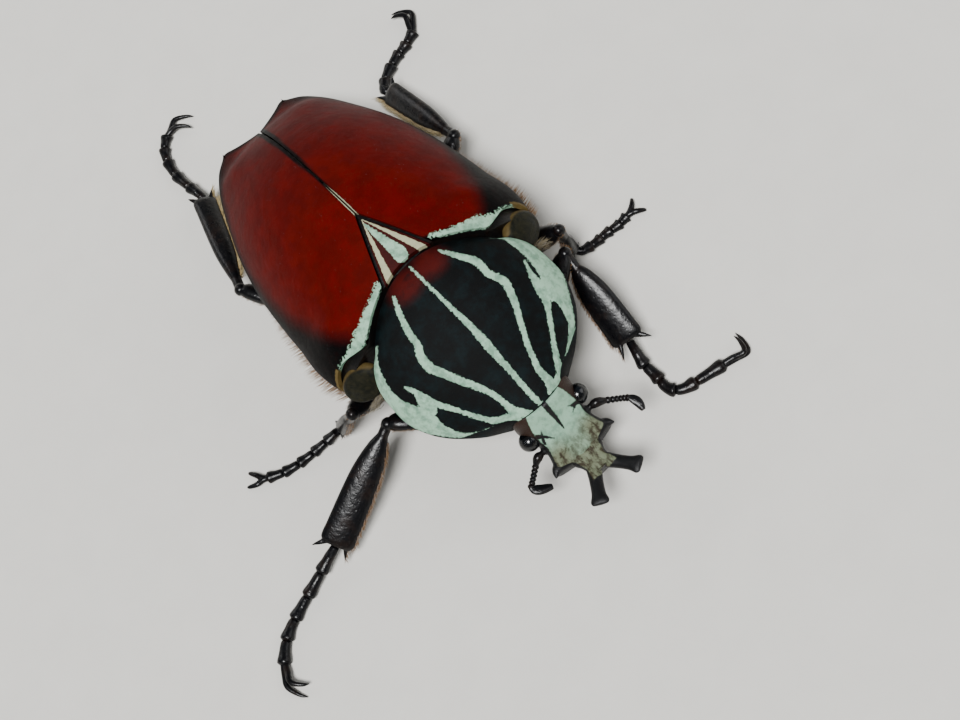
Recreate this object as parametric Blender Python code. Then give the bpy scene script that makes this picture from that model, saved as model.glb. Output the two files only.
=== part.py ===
"""A male goliath beetle at life size, standing on its six feet.

Sizes are in millimetres and become metres where a mesh is made. The beetle faces -Y, its left
side is +X, and the floor is z = 0. Heights of the body forms are counted from a body datum
that stands LIFT above the floor.
"""
import math

import bmesh
import bpy
from mathutils import Matrix, Vector

MM = 0.001
SHIFT_X = 12.7            # puts the whole outline on the middle of the frame
SHIFT_Y = -13.7
LIFT = 2.5                # how far the legs raise the body
GAP = 0.3                 # clearance between neighbouring pieces
SHELL = 0.8               # thickness of a wing case
WRAP = 104                # degrees a wing case wraps from the seam round the side
ELYTRON_ACROSS = 11
ELYTRON_ALONG = 16
THORAX_ACROSS = 12
THORAX_ALONG = 10
BELLY_SIDES = 7           # facets of one half of the underside
BODY_ALONG = 8

# stations are (y, value) pairs read off the photograph
FRONT_EDGE = ((5, -0.1), (8, -1.2), (11.5, -2.8), (13.3, -3.5), (15.5, -2.8), (18, -1.6), (20, -1.4),
              (21.6, -2.2))      # (x, y) of a wing case's front edge
SEAM_HEIGHT = ((-4, 27.4), (0, 28.2), (11.7, 29.2), (20, 28.4), (30, 25.6), (38, 21.3), (44, 16.2),
               (48, 11.6), (52, 8.9))
SIDE_REACH = ((-4, 20.4), (-1, 21.5), (4, 22.0), (9, 21.5), (14.4, 21.2), (23.2, 20.3), (31.5, 18.5),
              (38.3, 16.1), (45, 13.2), (49.5, 10.3), (51.7, 7.6))
SIDE_HEIGHT = ((-4, 16.6), (1, 15.4), (5.5, 14.3), (14.4, 12.4), (23.2, 10.9), (31.5, 9.8), (38.3, 9.2),
               (45, 8.6), (52, 8.0))
WRAP_DROP = 6             # how far the rim below the side would fall at a full turn, before WRAP_SHARE
WRAP_SHARE = 0.45
WRAP_TUCK = 0.35          # how far the same rim draws inward
HUMPS = ((16.5, 3.0, 3.2, 0.9), (8.5, 43.5, 3.6, 0.8))      # x, y, radius, height: shoulder and rear
SCUTELLUM_HALF = 5.0
SCUTELLUM_TIP = 11.7
SCUTELLUM_THICK = 1.0
SCUTELLUM_ROWS = 4
SCUTELLUM_COLUMNS = 4
SCUTELLUM_POINT = 0.12    # half width left at its tip
SCUTELLUM_SHORT = 1.4     # how far its tip stops before the wing cases meet
SCUTELLUM_PROUD = 0.1
SCUTELLUM_BOW = 0.02
SEAM_END = 47.8
SHOULDER = 21.4
APEX_REACH = 4.1          # how far a wing case runs past the end of the seam
APEX_CUT = 1.6            # how far its outer rear corner is drawn in again
BASE_ARCH = 4.3           # how far the pronotum's hind edge falls forward at its corners
BASE_HALF = 12.7

PRONOTUM_REACH = ((0, 6.6), (0.09, 10.3), (0.23, 13.7), (0.37, 15.9), (0.54, 17.3), (0.7, 17.4), (0.84, 16.8),
                  (0.94, 15.3), (1, 13.5))
PRONOTUM_RIM = ((0, 12.5), (0.2, 13.7), (0.5, 15.1), (0.75, 17.4), (1, 21.2))
PRONOTUM_CREST = ((0, 17.0), (0.2, 20.0), (0.45, 24.3), (0.7, 26.8), (0.88, 27.5), (1, 27.0))
PRONOTUM_FRONT = -29.0
FRONT_CORNER = -26.4
PRONOTUM_BELLY = ((0, 7.6), (0.3, 5.2), (0.6, 4.0), (1, 4.6))
BELLY_POWER = 1.6

HEAD_STATIONS = (          # y, half width, top height, bottom height, sweep of the sides
    (-29.35, 6.0, 16.6, 8.0, 0.85), (-30.3, 5.6, 14.9, 6.9, 0.7), (-31.2, 5.0, 13.2, 6.2, 0.3),
    (-32.4, 4.8, 11.8, 5.6, 0.1), (-33.7, 5.2, 10.5, 5.0, 0), (-34.7, 5.8, 9.4, 4.8, 0),
    (-35.5, 6.0, 8.7, 5.0, 0), (-36.1, 3.3, 8.3, 5.2, 0))
HEAD_SIDES = 24
HEAD_SWEEP = 2.5          # how far the head's hind corners reach back beside the pronotum
HEAD_DISH = 0.5           # depth of the hollow along the top of the head
HORN_STEM = ((-36.5, 3.0, 8.2, 5.4), (-37.4, 2.5, 8.0, 5.3), (-38.6, 2.3, 7.9, 5.2), (-40.0, 2.8, 7.8, 5.3))
PRONG_RUN = ((1.2, -39.0, 6.6), (2.6, -41.2, 7.0), (4.5, -44.4, 8.2))
STEM_SIDES = 12
PRONG_STEPS = 5
PRONG_PROFILE = ((0, 1.3, 1.2), (0.4, 1.15, 1.0), (0.75, 1.25, 0.85), (1, 1.7, 0.6))
MOUTH_RUN = ((0, -30.5, 4.9), (0, -32.5, 3.8), (0, -34.6, 3.4))
MOUTH_STEPS = 4
MOUTH_SIDES = 10
MOUTH_PROFILE = ((0, 2.2, 0.8), (0.5, 2.8, 0.9), (1, 1.5, 0.5))
EYE_CENTRE = (5.5, -29.6, 10.6)
EYE_RADIUS = 1.6

FEELERS = {
    "right": ((-5.4, -31.9, 12.0), (-6.4, -32.0, 12.0), (-7.7, -32.6, 11.3), (-9.2, -33.4, 10.5),
              (-10.3, -34.1, 9.9), (-9.6, -35.1, 9.6), (-7.7, -36.1, 9.2)),
    "left": ((5.4, -32.0, 12.2), (6.7, -32.4, 12.3), (8.3, -33.2, 11.5), (9.8, -34.1, 10.8),
             (10.9, -34.9, 10.2), (11.4, -36.2, 9.8), (11.2, -37.6, 9.4)),
}

KEEL_CENTRE = (0, -2.6, 3.2)      # the blunt process that points forward between the middle legs
KEEL_RADII = (1.9, 5.0, 1.0)
EPIMERON_CENTRE = (17.7, -4.6, 15.5)      # a plate that shows between the pronotum and each wing case
EPIMERON_RADII = (3.9, 1.4, 2.6)
EPIMERON_TURN = 0.25
EPIMERON_TILT = 0.72
EPIMERON_LEAN = -0.7      # turns its flat side up
FEELER_STEPS = 12
FEELER_PROFILE = ((0, 0.42, 0.42), (0.1, 0.5, 0.5), (0.25, 0.62, 0.55), (0.34, 0.38, 0.38), (0.6, 0.4, 0.4),
                  (0.68, 0.5, 0.45), (0.8, 0.95, 0.7), (0.92, 0.85, 0.65), (1, 0.35, 0.3))
PYGIDIUM_SIDES = 14
PYGIDIUM_STATIONS = ((46.9, 7.74, 9.8, 6.4), (48.4, 6.66, 8.6, 6.6), (49.4, 4.14, 7.9, 6.9))
METATHORAX_SPAN = (1.0, 21.6)
ABDOMEN_SPAN = (21.9, 46.5)
BELLY_HEIGHT = ((-5, 4.6), (0, 3.8), (12, 3.4), (22, 3.6), (32, 4.1), (40, 4.9), (47, 6.2))

# coxa centre, femur root, bend of the femur, knee, ankle, outer side of the tibia, course of the
# toes, the two claws as bulge and tip, half width of the tibia, half width of the toes
LEGS = {
    "front_right": {
        "coxa": (-4.9, -16.8, 6.4), "hip": (-8.1, -15.6, 6.6), "thigh": (-13.8, -12.5, 9.9),
        "knee": (-19.6, -9.4, 12.2), "ankle": (-39.8, -15.0, 4.2), "edge": (-0.40, 0.83, 0.39),
        "toes": ((-41.0, -14.8, 3.2), (-44.1, -15.4, 2.2), (-47.7, -16.3, 1.5), (-51.3, -17.3, 1.1),
                 (-54.4, -18.4, 1.0), (-57.0, -20.0, 1.0), (-59.4, -22.4, 1.0)),
        "claws": (((-61.3, -25.6, 0.8), (-59.9, -29.2, 0.3)), ((-60.3, -25.6, 1.5), (-58.2, -28.0, 1.1))),
        "shank": 2.95, "toe": 1.25, "spurs": 1},
    "front_left": {
        "coxa": (4.9, -16.8, 6.4), "hip": (8.1, -15.6, 6.6), "thigh": (14.5, -12.4, 9.8),
        "knee": (20.9, -9.4, 11.8), "ankle": (18.5, -25.4, 4.2), "edge": (0.9, -0.1, 0.42),
        "toes": ((18.2, -26.7, 3.2), (17.6, -29.2, 2.2), (17.6, -32.0, 1.5), (17.5, -34.8, 1.1),
                 (19.0, -36.7, 1.0), (22.3, -37.7, 1.0), (26.8, -38.7, 1.0)),
        "claws": (((30.9, -40.0, 0.8), (31.9, -36.0, 0.3)), ((30.3, -39.9, 1.7), (31.2, -36.6, 1.3))),
        "shank": 2.95, "toe": 1.25, "spurs": 1},
    "middle_right": {
        "coxa": (-5.0, 1.0, 5.4), "hip": (-8.4, 0.6, 5.0), "thigh": (-16.5, -1.0, 7.2),
        "knee": (-22.6, -4.2, 13.4), "ankle": (-25.6, 0.2, 3.2), "edge": (0.1, 1.0, 0.3),
        "toes": ((-26.5, 1.1, 2.1), (-30.0, 1.6, 1.3), (-33.7, 2.1, 0.9), (-37.5, 3.0, 0.8), (-40.8, 4.6, 0.8)),
        "claws": (((-42.8, 5.0, 0.8), (-44.4, 6.2, 0.3)), ((-41.8, 6.2, 0.8), (-42.6, 8.0, 0.3))),
        "shank": 1.45, "toe": 1.1, "spurs": 2},
    "middle_left": {
        "coxa": (5.0, 1.0, 5.4), "hip": (8.4, 0.6, 5.0), "thigh": (16.5, -1.0, 7.2),
        "knee": (22.8, -6.4, 13.4), "ankle": (23.6, -6.0, 3.2), "edge": (0.9, 0.3, 0.2),
        "toes": ((24.5, -6.6, 2.1), (27.2, -6.9, 1.3), (29.9, -6.9, 0.9), (32.5, -7.3, 0.8), (34.6, -7.2, 0.8)),
        "claws": (((36.4, -6.6, 0.9), (37.3, -5.2, 0.3)), ((36.4, -8.0, 0.9), (37.6, -8.9, 0.3))),
        "shank": 1.45, "toe": 1.1, "spurs": 2},
    "hind_right": {
        "coxa": (-5.3, 14.6, 5.2), "hip": (-9.0, 16.4, 4.4), "thigh": (-16.4, 23.4, 5.6),
        "knee": (-21.6, 31.0, 8.0), "ankle": (-15.0, 53.0, 3.6), "edge": (-0.9, -0.2, 0.45),
        "toes": ((-14.9, 55.2, 2.4), (-15.3, 58.6, 1.8), (-15.5, 63.0, 1.2), (-14.8, 66.6, 1.0),
                 (-13.5, 69.1, 1.0), (-11.5, 70.9, 1.0)),
        "claws": (((-8.4, 72.3, 0.8), (-5.4, 70.3, 0.3)), ((-9.0, 70.4, 1.4), (-7.2, 68.2, 1.0))),
        "shank": 2.2, "toe": 1.15, "spurs": 2},
    "hind_left": {
        "coxa": (5.3, 14.6, 5.2), "hip": (9.0, 16.4, 4.4), "thigh": (16.8, 20.2, 5.8),
        "knee": (23.6, 23.0, 9.0), "ankle": (22.4, 42.2, 3.6), "edge": (0.9, 0.1, 0.45),
        "toes": ((22.1, 44.0, 2.4), (24.6, 46.4, 1.6), (28.4, 48.2, 1.1), (31.2, 48.8, 1.0), (34.2, 49.8, 1.0)),
        "claws": (((36.6, 53.2, 0.8), (34.0, 56.2, 0.3)), ((35.2, 53.2, 1.6), (33.2, 55.0, 1.2))),
        "shank": 2.2, "toe": 1.25, "spurs": 2},
}
LEG_SIDES = 8
SPUR_SIDES = 6
LIMB_STEPS = 7
COXA_RADII = (3.1, 2.3, 1.9)
COXA_TURN = 0.3
FEMUR_TALL = (0, -1, 0.35)      # the way the deep side of a femur faces
FEMUR_PROFILE = ((0, 0.9, 1.1), (0.15, 1.5, 2.0), (0.5, 1.7, 2.6), (0.8, 1.5, 2.1), (0.93, 1.3, 1.6),
                 (1, 0.85, 1.0))
KNEE_ROOM = 1.3           # the tibia starts this far from the knee, and further where the knee is folded
KNEE_FOLD = 1.6
# (place, share of the shank's half width, half depth)
TIBIA_PROFILE = ((0, 0.27, 0.7), (0.12, 0.58, 1.05), (0.32, 0.86, 1.2), (0.5, 0.95, 1.2), (0.85, 1, 1.1),
                 (0.96, 1, 0.95), (1, 0.8, 0.6))
# (place, way out, way along the shin, share of the width in its length, thickness) of the teeth
TIBIA_TEETH = ((0.97, 1.0, 0.9, 0.75, 0.6), (0.62, 0.9, 0.6, 0.6, 0.5))
TOOTH_ROOT = 0.5          # how far out of the shin's middle a tooth starts, as a share of its half width
SPUR_PLACE = 0.96
SPUR_LENGTH = 0.4
SPUR_THICK = 0.5
SPUR_LIFT = 0.35          # the first spur stands this far off the flat of the shin, the next SPUR_STEP lower
SPUR_STEP = 0.8
SPIKE_PROFILE = ((1.0, 0.8), (0.7, 0.6))
SPIKE_TIP = 0.12
LOWEST_SPIKE = 0.3
TOE_JOINTS = 5
TOE_ROWS = 3
TOE_PROFILE = ((0.62, 0.6), (0.76, 0.68), (1.05, 0.86))      # shares of the toe's half width over one joint
TOE_END = ((0.95, 0.85), (0.7, 0.62))
TOE_START = 0.9           # the first joint starts this far from the ankle
CLAW_PROFILE = ((0, 0.4, 0.4), (0.3, 0.42, 0.4), (0.6, 0.36, 0.34), (0.85, 0.24, 0.24), (1, 0.1, 0.1))
CLAW_SPREAD = 0.16
CLAW_SINK = 0.4
CLAW_BOW = 0.35
CLAW_FLOORS = (0.07, 0.12)
TOE_SINK = 0.22           # lowers the toes so that their flared ends stand on small flats

PALETTE = {
    "velvet black": ((0.012, 0.016, 0.018), 0.62),
    "gloss black": ((0.010, 0.010, 0.011), 0.28),
    "oxblood": ((0.105, 0.010, 0.006), 0.34),
    "chalk white": ((0.52, 0.56, 0.48), 0.80),
    "olive brown": ((0.070, 0.055, 0.028), 0.50),
    "dark maroon": ((0.040, 0.008, 0.006), 0.50),
    "eye black": ((0.006, 0.006, 0.007), 0.12),
}


def blend(stations, place):
    """Smooth value at place through (place, value) stations."""
    last = len(stations) - 1
    if place <= stations[0][0]:
        return stations[0][1]
    if place >= stations[last][0]:
        return stations[last][1]
    step = 0
    while stations[step + 1][0] < place:
        step += 1
    before = stations[max(step - 1, 0)]
    left = stations[step]
    right = stations[step + 1]
    after = stations[min(step + 2, last)]
    span = right[0] - left[0]
    part = (place - left[0]) / span
    slope_left = (right[1] - before[1]) / (right[0] - before[0]) * span
    slope_right = (after[1] - left[1]) / (after[0] - left[0]) * span
    square = part * part
    cube = square * part
    return ((2 * cube - 3 * square + 1) * left[1] + (cube - 2 * square + part) * slope_left
            + (3 * square - 2 * cube) * right[1] + (cube - square) * slope_right)


def lerp(start, end, part):
    return start + (end - start) * part


def bump(x, y, centre_x, centre_y, radius, height):
    return height * math.exp(-((x - centre_x) ** 2 + (y - centre_y) ** 2) / radius ** 2)


def new_object(name, verts, faces, colour, collection):
    """A mesh object from millimetre positions, with its normals turned outward."""
    mesh = bpy.data.meshes.new(name)
    mesh.from_pydata([((x + SHIFT_X) * MM, (y + SHIFT_Y) * MM, z * MM) for x, y, z in verts], [], faces)
    build = bmesh.new()
    build.from_mesh(mesh)
    bmesh.ops.remove_doubles(build, verts=build.verts, dist=0.00001)
    bmesh.ops.recalc_face_normals(build, faces=build.faces)
    if build.calc_volume(signed=True) < 0:
        bmesh.ops.reverse_faces(build, faces=build.faces)
    build.to_mesh(mesh)
    build.free()
    mesh.materials.append(MATERIALS[colour])
    made = bpy.data.objects.new(name, mesh)
    collection.objects.link(made)
    return made


def loft(rings):
    """Positions and faces of a tube through equal rings, closed by a fan at each end."""
    count = len(rings[0])
    verts = [tuple(point) for ring in rings for point in ring]
    faces = []
    for row in range(len(rings) - 1):
        for side in range(count):
            turn = (side + 1) % count
            faces.append((row * count + side, row * count + turn,
                          (row + 1) * count + turn, (row + 1) * count + side))
    for ring, offset, order in ((rings[0], 0, -1), (rings[-1], (len(rings) - 1) * count, 1)):
        middle = tuple(sum(point[axis] for point in ring) / count for axis in range(3))
        verts.append(middle)
        hub = len(verts) - 1
        for side in range(count):
            edge = (offset + side, offset + (side + 1) % count, hub)
            faces.append(edge[::order])
    return verts, faces


def raised(points):
    return [(x, y, z + LIFT) for x, y, z in points]


def pronotum_base(x):
    """The y of the pronotum's hind edge at distance x from the middle."""
    return -BASE_ARCH * min(abs(x) / BASE_HALF, 1.05) ** 2


def elytron_point(turn, place):
    """Outer skin of the left wing case: turn degrees round from the seam, place 0 front to 1 rear."""
    spread = min(turn / 90, 1)
    base = lerp(SCUTELLUM_HALF, SHOULDER, math.sin(math.radians(min(turn, 90))))
    front = blend(FRONT_EDGE, base) - 0.5 * max(turn - 90, 0) / 10
    rear = SEAM_END + APEX_REACH * math.sin(math.pi * min(spread * 0.62, 0.5))
    rear -= APEX_CUT * max(spread - 0.85, 0) / 0.15
    y = lerp(front, rear, place)
    inner = max(SCUTELLUM_HALF * (SCUTELLUM_TIP - y) / SCUTELLUM_TIP, 0) + GAP / 2
    if y < SCUTELLUM_TIP:
        inner += GAP * 0.7
    reach = blend(SIDE_REACH, y)
    edge = blend(SIDE_HEIGHT, y)
    seam = blend(SEAM_HEIGHT, y)
    angle = math.radians(turn)
    x = max(inner + (reach - inner) * math.sin(angle) ** 1.05, inner)
    # the height follows the full width, so the scutellum's slot lies in the same dome
    across = min(x / reach, 1)
    z = edge + (seam - edge) * max(1 - across ** 2.1, 0) ** 0.72
    if turn > 90:
        z = edge - (seam - edge + WRAP_DROP) * WRAP_SHARE * math.sin(angle - math.pi / 2)
        x = reach - (reach - inner) * WRAP_TUCK * (1 - math.cos(angle - math.pi / 2))
    z += sum(bump(x, y, *hump) for hump in HUMPS)
    return Vector((x, y, z))


def elytron_inward(turn, place, depth):
    """The point depth inside the wing case's skin."""
    step = 0.02
    across = elytron_point(turn + 1, place) - elytron_point(max(turn - 1, 0), place)
    along = elytron_point(turn, min(place + step, 1)) - elytron_point(turn, max(place - step, 0))
    normal = along.cross(across).normalized()
    point = elytron_point(turn, place) + normal * depth
    point.x = max(point.x, elytron_point(0, place).x)
    return point


def shell(top, under, rows, columns):
    """Positions and faces of a closed plate between two equal grids of points."""
    wide = columns + 1
    layer = len(top)
    faces = []
    for row in range(rows):
        for column in range(columns):
            corner = row * wide + column
            patch = (corner, corner + 1, corner + wide + 1, corner + wide)
            faces.append(patch)
            faces.append(tuple(index + layer for index in reversed(patch)))
    rim = list(range(wide))
    rim += [row * wide + columns for row in range(1, rows + 1)]
    rim += [rows * wide + column for column in range(columns - 1, -1, -1)]
    rim += [row * wide for row in range(rows - 1, 0, -1)]
    for start, end in zip(rim, rim[1:] + rim[:1]):
        faces.append((start, start + layer, end + layer, end))
    return top + under, faces


def elytron(name, side, collection):
    layers = []
    for depth in (0, SHELL):
        points = []
        for row in range(ELYTRON_ALONG + 1):
            for column in range(ELYTRON_ACROSS + 1):
                turn = WRAP * column / ELYTRON_ACROSS
                place = row / ELYTRON_ALONG
                point = elytron_inward(turn, place, depth) if depth else elytron_point(turn, place)
                points.append((point.x * side, point.y, point.z + LIFT))
        layers.append(points)
    verts, faces = shell(*layers, ELYTRON_ALONG, ELYTRON_ACROSS)
    new_object(name, verts, faces, "oxblood", collection)


def mirrored_ring(half):
    """A full ring from its left half, listed from the top middle to the bottom middle."""
    right = [Vector((-point.x, point.y, point.z)) for point in reversed(half[1:-1])]
    return half + right


def pronotum_ring(place):
    reach = blend(PRONOTUM_REACH, place)
    rim = blend(PRONOTUM_RIM, place)
    crest = blend(PRONOTUM_CREST, place)
    belly = blend(PRONOTUM_BELLY, place)
    half = []
    for column in range(THORAX_ACROSS + 1):
        angle = math.radians(90 * column / THORAX_ACROSS)
        x = reach * math.sin(angle)
        front = lerp(PRONOTUM_FRONT, FRONT_CORNER, (x / reach) ** 2)
        y = lerp(front, pronotum_base(x), place)
        z = rim + (crest - rim) * max(1 - (x / reach) ** 2.1, 0) ** 0.78
        half.append(Vector((x, y, z)))
    for column in range(1, BELLY_SIDES + 1):
        x = reach * (1 - column / BELLY_SIDES) ** 1.15
        across = x / reach
        z = belly + (rim - 0.7 - belly) * across ** BELLY_POWER
        y = lerp(FRONT_CORNER, pronotum_base(reach), place)
        half.append(Vector((x, y, z)))
    return mirrored_ring(half)


def body_ring(y, inset, follow):
    """A section of the trunk under the wing cases; follow 1 bends it along the pronotum's hind edge."""
    half = []
    rows = [row / 24 for row in range(25)]
    for column in range(THORAX_ACROSS + 1):
        turn = 97 * column / THORAX_ACROSS
        path = [elytron_inward(turn, place, inset) for place in rows]
        start, end = path[0], path[-1]
        here = y + follow * pronotum_base(start.x)
        for first, second in zip(path, path[1:]):
            if first.y <= here <= second.y:
                point = first.lerp(second, (here - first.y) / (second.y - first.y))
                break
        else:
            point = start.copy() if here < start.y else end.copy()
        if column == 0:
            point.x = 0
        point.y = here
        half.append(point)
    reach = half[-1].x
    rim = half[-1].z
    belly = blend(BELLY_HEIGHT, y)
    y = half[-1].y
    for column in range(1, BELLY_SIDES + 1):
        across = 1 - column / BELLY_SIDES
        half.append(Vector((reach * across, y, belly + (rim - belly) * across ** 2.4)))
    return mirrored_ring(half)


def tube(path, sizes, up, sides, floor=-100.0):
    """Rings of (half width, half depth) along a path; up turns the depth, floor is the lowest height."""
    rings = []
    for index, point in enumerate(path):
        ahead = path[min(index + 1, len(path) - 1)] - path[max(index - 1, 0)]
        ahead.normalize()
        wide = ahead.cross(up)
        wide.normalize()
        tall = wide.cross(ahead)
        half_width, half_depth = sizes[index]
        ring = []
        for side in range(sides):
            angle = 2 * math.pi * (side + 0.5) / sides
            spot = point + wide * half_width * math.sin(angle) + tall * half_depth * math.cos(angle)
            spot.z = max(spot.z, floor)
            ring.append(spot)
        rings.append(ring)
    return rings


def course(points, steps):
    """Evenly spaced points along a smooth run through the given points."""
    stations = list(range(len(points)))
    run = []
    for step in range(steps + 1):
        place = step / steps * (len(points) - 1)
        run.append(Vector([blend(list(zip(stations, [point[axis] for point in points])), place)
                           for axis in range(3)]))
    return run


def swell(steps, stations):
    return [(blend([(place, wide) for place, wide, deep in stations], step / steps),
             blend([(place, deep) for place, wide, deep in stations], step / steps))
            for step in range(steps + 1)]


def fuse(name, pieces, colour):
    """One closed surface from overlapping solids, kept to its largest piece."""
    group = bpy.data.collections.new(name + " parts")
    for piece in pieces[1:]:
        group.objects.link(piece)
    base = pieces[0]
    if len(pieces) > 1:
        union = base.modifiers.new("union", "BOOLEAN")
        union.operation = "UNION"
        union.solver = "EXACT"
        union.operand_type = "COLLECTION"
        union.collection = group
        depsgraph = bpy.context.evaluated_depsgraph_get()
        depsgraph.update()
        mesh = bpy.data.meshes.new_from_object(base.evaluated_get(depsgraph))
        base.modifiers.clear()
        base.data = mesh
    for piece in pieces[1:]:
        bpy.data.objects.remove(piece, do_unlink=True)
    bpy.data.collections.remove(group)
    build = bmesh.new()
    build.from_mesh(base.data)
    bmesh.ops.remove_doubles(build, verts=build.verts, dist=0.000002)
    build.faces.ensure_lookup_table()
    unseen = set(build.faces)
    islands = []
    while unseen:
        island = set()
        edge_of = [unseen.pop()]
        while edge_of:
            face = edge_of.pop()
            island.add(face)
            for edge in face.edges:
                for near in edge.link_faces:
                    if near in unseen:
                        unseen.discard(near)
                        edge_of.append(near)
        islands.append(island)
    largest = max(islands, key=lambda island: sum(face.calc_area() for face in island))
    spare = [face for island in islands if island is not largest for face in island]
    bmesh.ops.delete(build, geom=spare, context="FACES")
    bmesh.ops.recalc_face_normals(build, faces=build.faces)
    build.to_mesh(base.data)
    build.free()
    base.data.materials.clear()
    base.data.materials.append(MATERIALS[colour])
    base.name = name
    return base


def carve(base, cutters):
    """Cut each cutter out of base and remove the cutters."""
    for cutter in cutters:
        cut = base.modifiers.new("cut", "BOOLEAN")
        cut.operation = "DIFFERENCE"
        cut.solver = "EXACT"
        cut.object = cutter
    depsgraph = bpy.context.evaluated_depsgraph_get()
    depsgraph.update()
    mesh = bpy.data.meshes.new_from_object(base.evaluated_get(depsgraph))
    base.modifiers.clear()
    base.data = mesh
    for cutter in cutters:
        bpy.data.objects.remove(cutter, do_unlink=True)
    while len(mesh.materials) > 1:
        mesh.materials.pop(index=1)


def piece(rings, colour, collection):
    verts, faces = loft(rings)
    return new_object("piece", verts, faces, colour, collection)


def ball(name, centre, radii, colour, collection, turn=0.0, tilt=0.0, lean=0.0):
    """A UV sphere stretched to the three radii, leaned about X, tilted about Y, then turned about Z."""
    build = bmesh.new()
    bmesh.ops.create_uvsphere(build, u_segments=12, v_segments=8, radius=MM)
    shape = Matrix.Rotation(turn, 4, "Z") @ Matrix.Rotation(tilt, 4, "Y") @ Matrix.Rotation(lean, 4, "X")
    shape = shape @ Matrix.Diagonal((*radii, 1))
    place = Vector(((centre[0] + SHIFT_X) * MM, (centre[1] + SHIFT_Y) * MM, centre[2] * MM))
    bmesh.ops.transform(build, matrix=Matrix.Translation(place) @ shape, verts=build.verts)
    mesh = bpy.data.meshes.new(name)
    build.to_mesh(mesh)
    build.free()
    mesh.materials.append(MATERIALS[colour])
    made = bpy.data.objects.new(name, mesh)
    collection.objects.link(made)
    return made


def leg(place, plan, collection):
    hip = Vector(plan["hip"])
    knee = Vector(plan["knee"])
    ankle = Vector(plan["ankle"])
    coxa = Vector(plan["coxa"])
    edge = Vector(plan["edge"])
    side = 1 if hip.x > 0 else -1
    ball(place + "_coxa", coxa, COXA_RADII, "gloss black", collection, side * COXA_TURN)
    trunk = "prothorax" if place.startswith("front") else "metathorax"
    carve(bpy.data.objects[trunk], [ball("socket", coxa, [radius + GAP for radius in COXA_RADII], "gloss black",
                                         collection, side * COXA_TURN)])
    run = course([tuple(hip), plan["thigh"], tuple(knee)], LIMB_STEPS)
    verts, faces = loft(tube(run, swell(LIMB_STEPS, FEMUR_PROFILE), Vector(FEMUR_TALL), LEG_SIDES))
    new_object(place + "_femur", verts, faces, "gloss black", collection)
    shin = (ankle - knee).normalized()
    fold = max(-(knee - Vector(plan["thigh"])).normalized().dot(shin), 0)
    top = knee + shin * (KNEE_ROOM + KNEE_FOLD * fold + GAP)
    tibia(place + "_tibia", top, ankle, Vector(plan["edge"]), plan["shank"], plan["spurs"], collection)
    tarsus(place + "_tarsus", ankle, plan, collection)


def tibia(name, top, ankle, edge, width, spurs, collection):
    """A flat shin that widens to its end, with two teeth on its outer side and spurs at the end."""
    shin = (ankle - top).normalized()
    flat = shin.cross(edge).normalized()
    outer = flat.cross(shin).normalized()
    if outer.dot(edge) < 0:
        outer = -outer
    run = course([tuple(top), tuple(top.lerp(ankle, 0.5)), tuple(ankle)], LIMB_STEPS)
    sizes = [(share * width, deep) for share, deep in swell(LIMB_STEPS, TIBIA_PROFILE)]
    parts = [piece(tube(run, sizes, flat, LEG_SIDES), "gloss black", collection)]
    spikes = []
    for along, out, down, length, thick in TIBIA_TEETH:
        root = top.lerp(ankle, along) + outer * width * TOOTH_ROOT
        spikes.append((root, (outer * out + shin * down) * width * length, thick))
    for spur in range(spurs):
        turn = SPUR_LIFT - SPUR_STEP * spur
        root = top.lerp(ankle, SPUR_PLACE) - outer * width * TOOTH_ROOT + flat * turn
        aim = shin - outer * SPUR_LIFT + flat * turn * 0.5
        spikes.append((root, aim * (width * SPUR_STEP + SPUR_LENGTH), SPUR_THICK))
    for root, reach, thick in spikes:
        tip = root + reach
        tip.z = max(tip.z, LOWEST_SPIKE)
        spike = course([tuple(root), tuple(root.lerp(tip, 0.5)), tuple(tip)], len(SPIKE_PROFILE))
        sizes = [(wide * thick, deep * thick) for wide, deep in SPIKE_PROFILE] + [(SPIKE_TIP, SPIKE_TIP)]
        parts.append(piece(tube(spike, sizes, flat, SPUR_SIDES), "gloss black", collection))
    fuse(name, parts, "gloss black")


def tarsus(name, ankle, plan, collection):
    """Five joints, each flared at its end, then two claws."""
    rows = TOE_JOINTS * TOE_ROWS
    run = course([(x, y, z - TOE_SINK) for x, y, z in plan["toes"]], rows)
    run[0] = ankle + (run[0] - ankle).normalized() * (TOE_START + GAP)
    shares = [TOE_PROFILE[row % TOE_ROWS] for row in range(rows + 1 - len(TOE_END))] + list(TOE_END)
    sizes = [(wide * plan["toe"], deep * plan["toe"]) for wide, deep in shares]
    level = Vector((0, 0, 1))
    parts = [piece(tube(run, sizes, level, LEG_SIDES, 0.0), "gloss black", collection)]
    last = run[-1]
    inward = (run[-TOE_ROWS] - last).normalized()
    for hand, (bulge, tip) in enumerate(plan["claws"]):
        bulge = Vector(bulge)
        tip = Vector(tip)
        spread = (tip - last).cross(level).normalized() * CLAW_SPREAD * (1 - 2 * hand)
        bow = (bulge - last).normalized() * CLAW_BOW
        points = [last + inward * CLAW_SINK + spread, last.lerp(bulge, 0.45) + spread, bulge,
                  bulge.lerp(tip, 0.55) + bow, tip]
        claw = course([tuple(point) for point in points], LIMB_STEPS)
        rings = tube(claw, swell(LIMB_STEPS, CLAW_PROFILE), level, SPUR_SIDES, CLAW_FLOORS[hand])
        parts.append(piece(rings, "gloss black", collection))
    fuse(name, parts, "gloss black")


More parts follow.
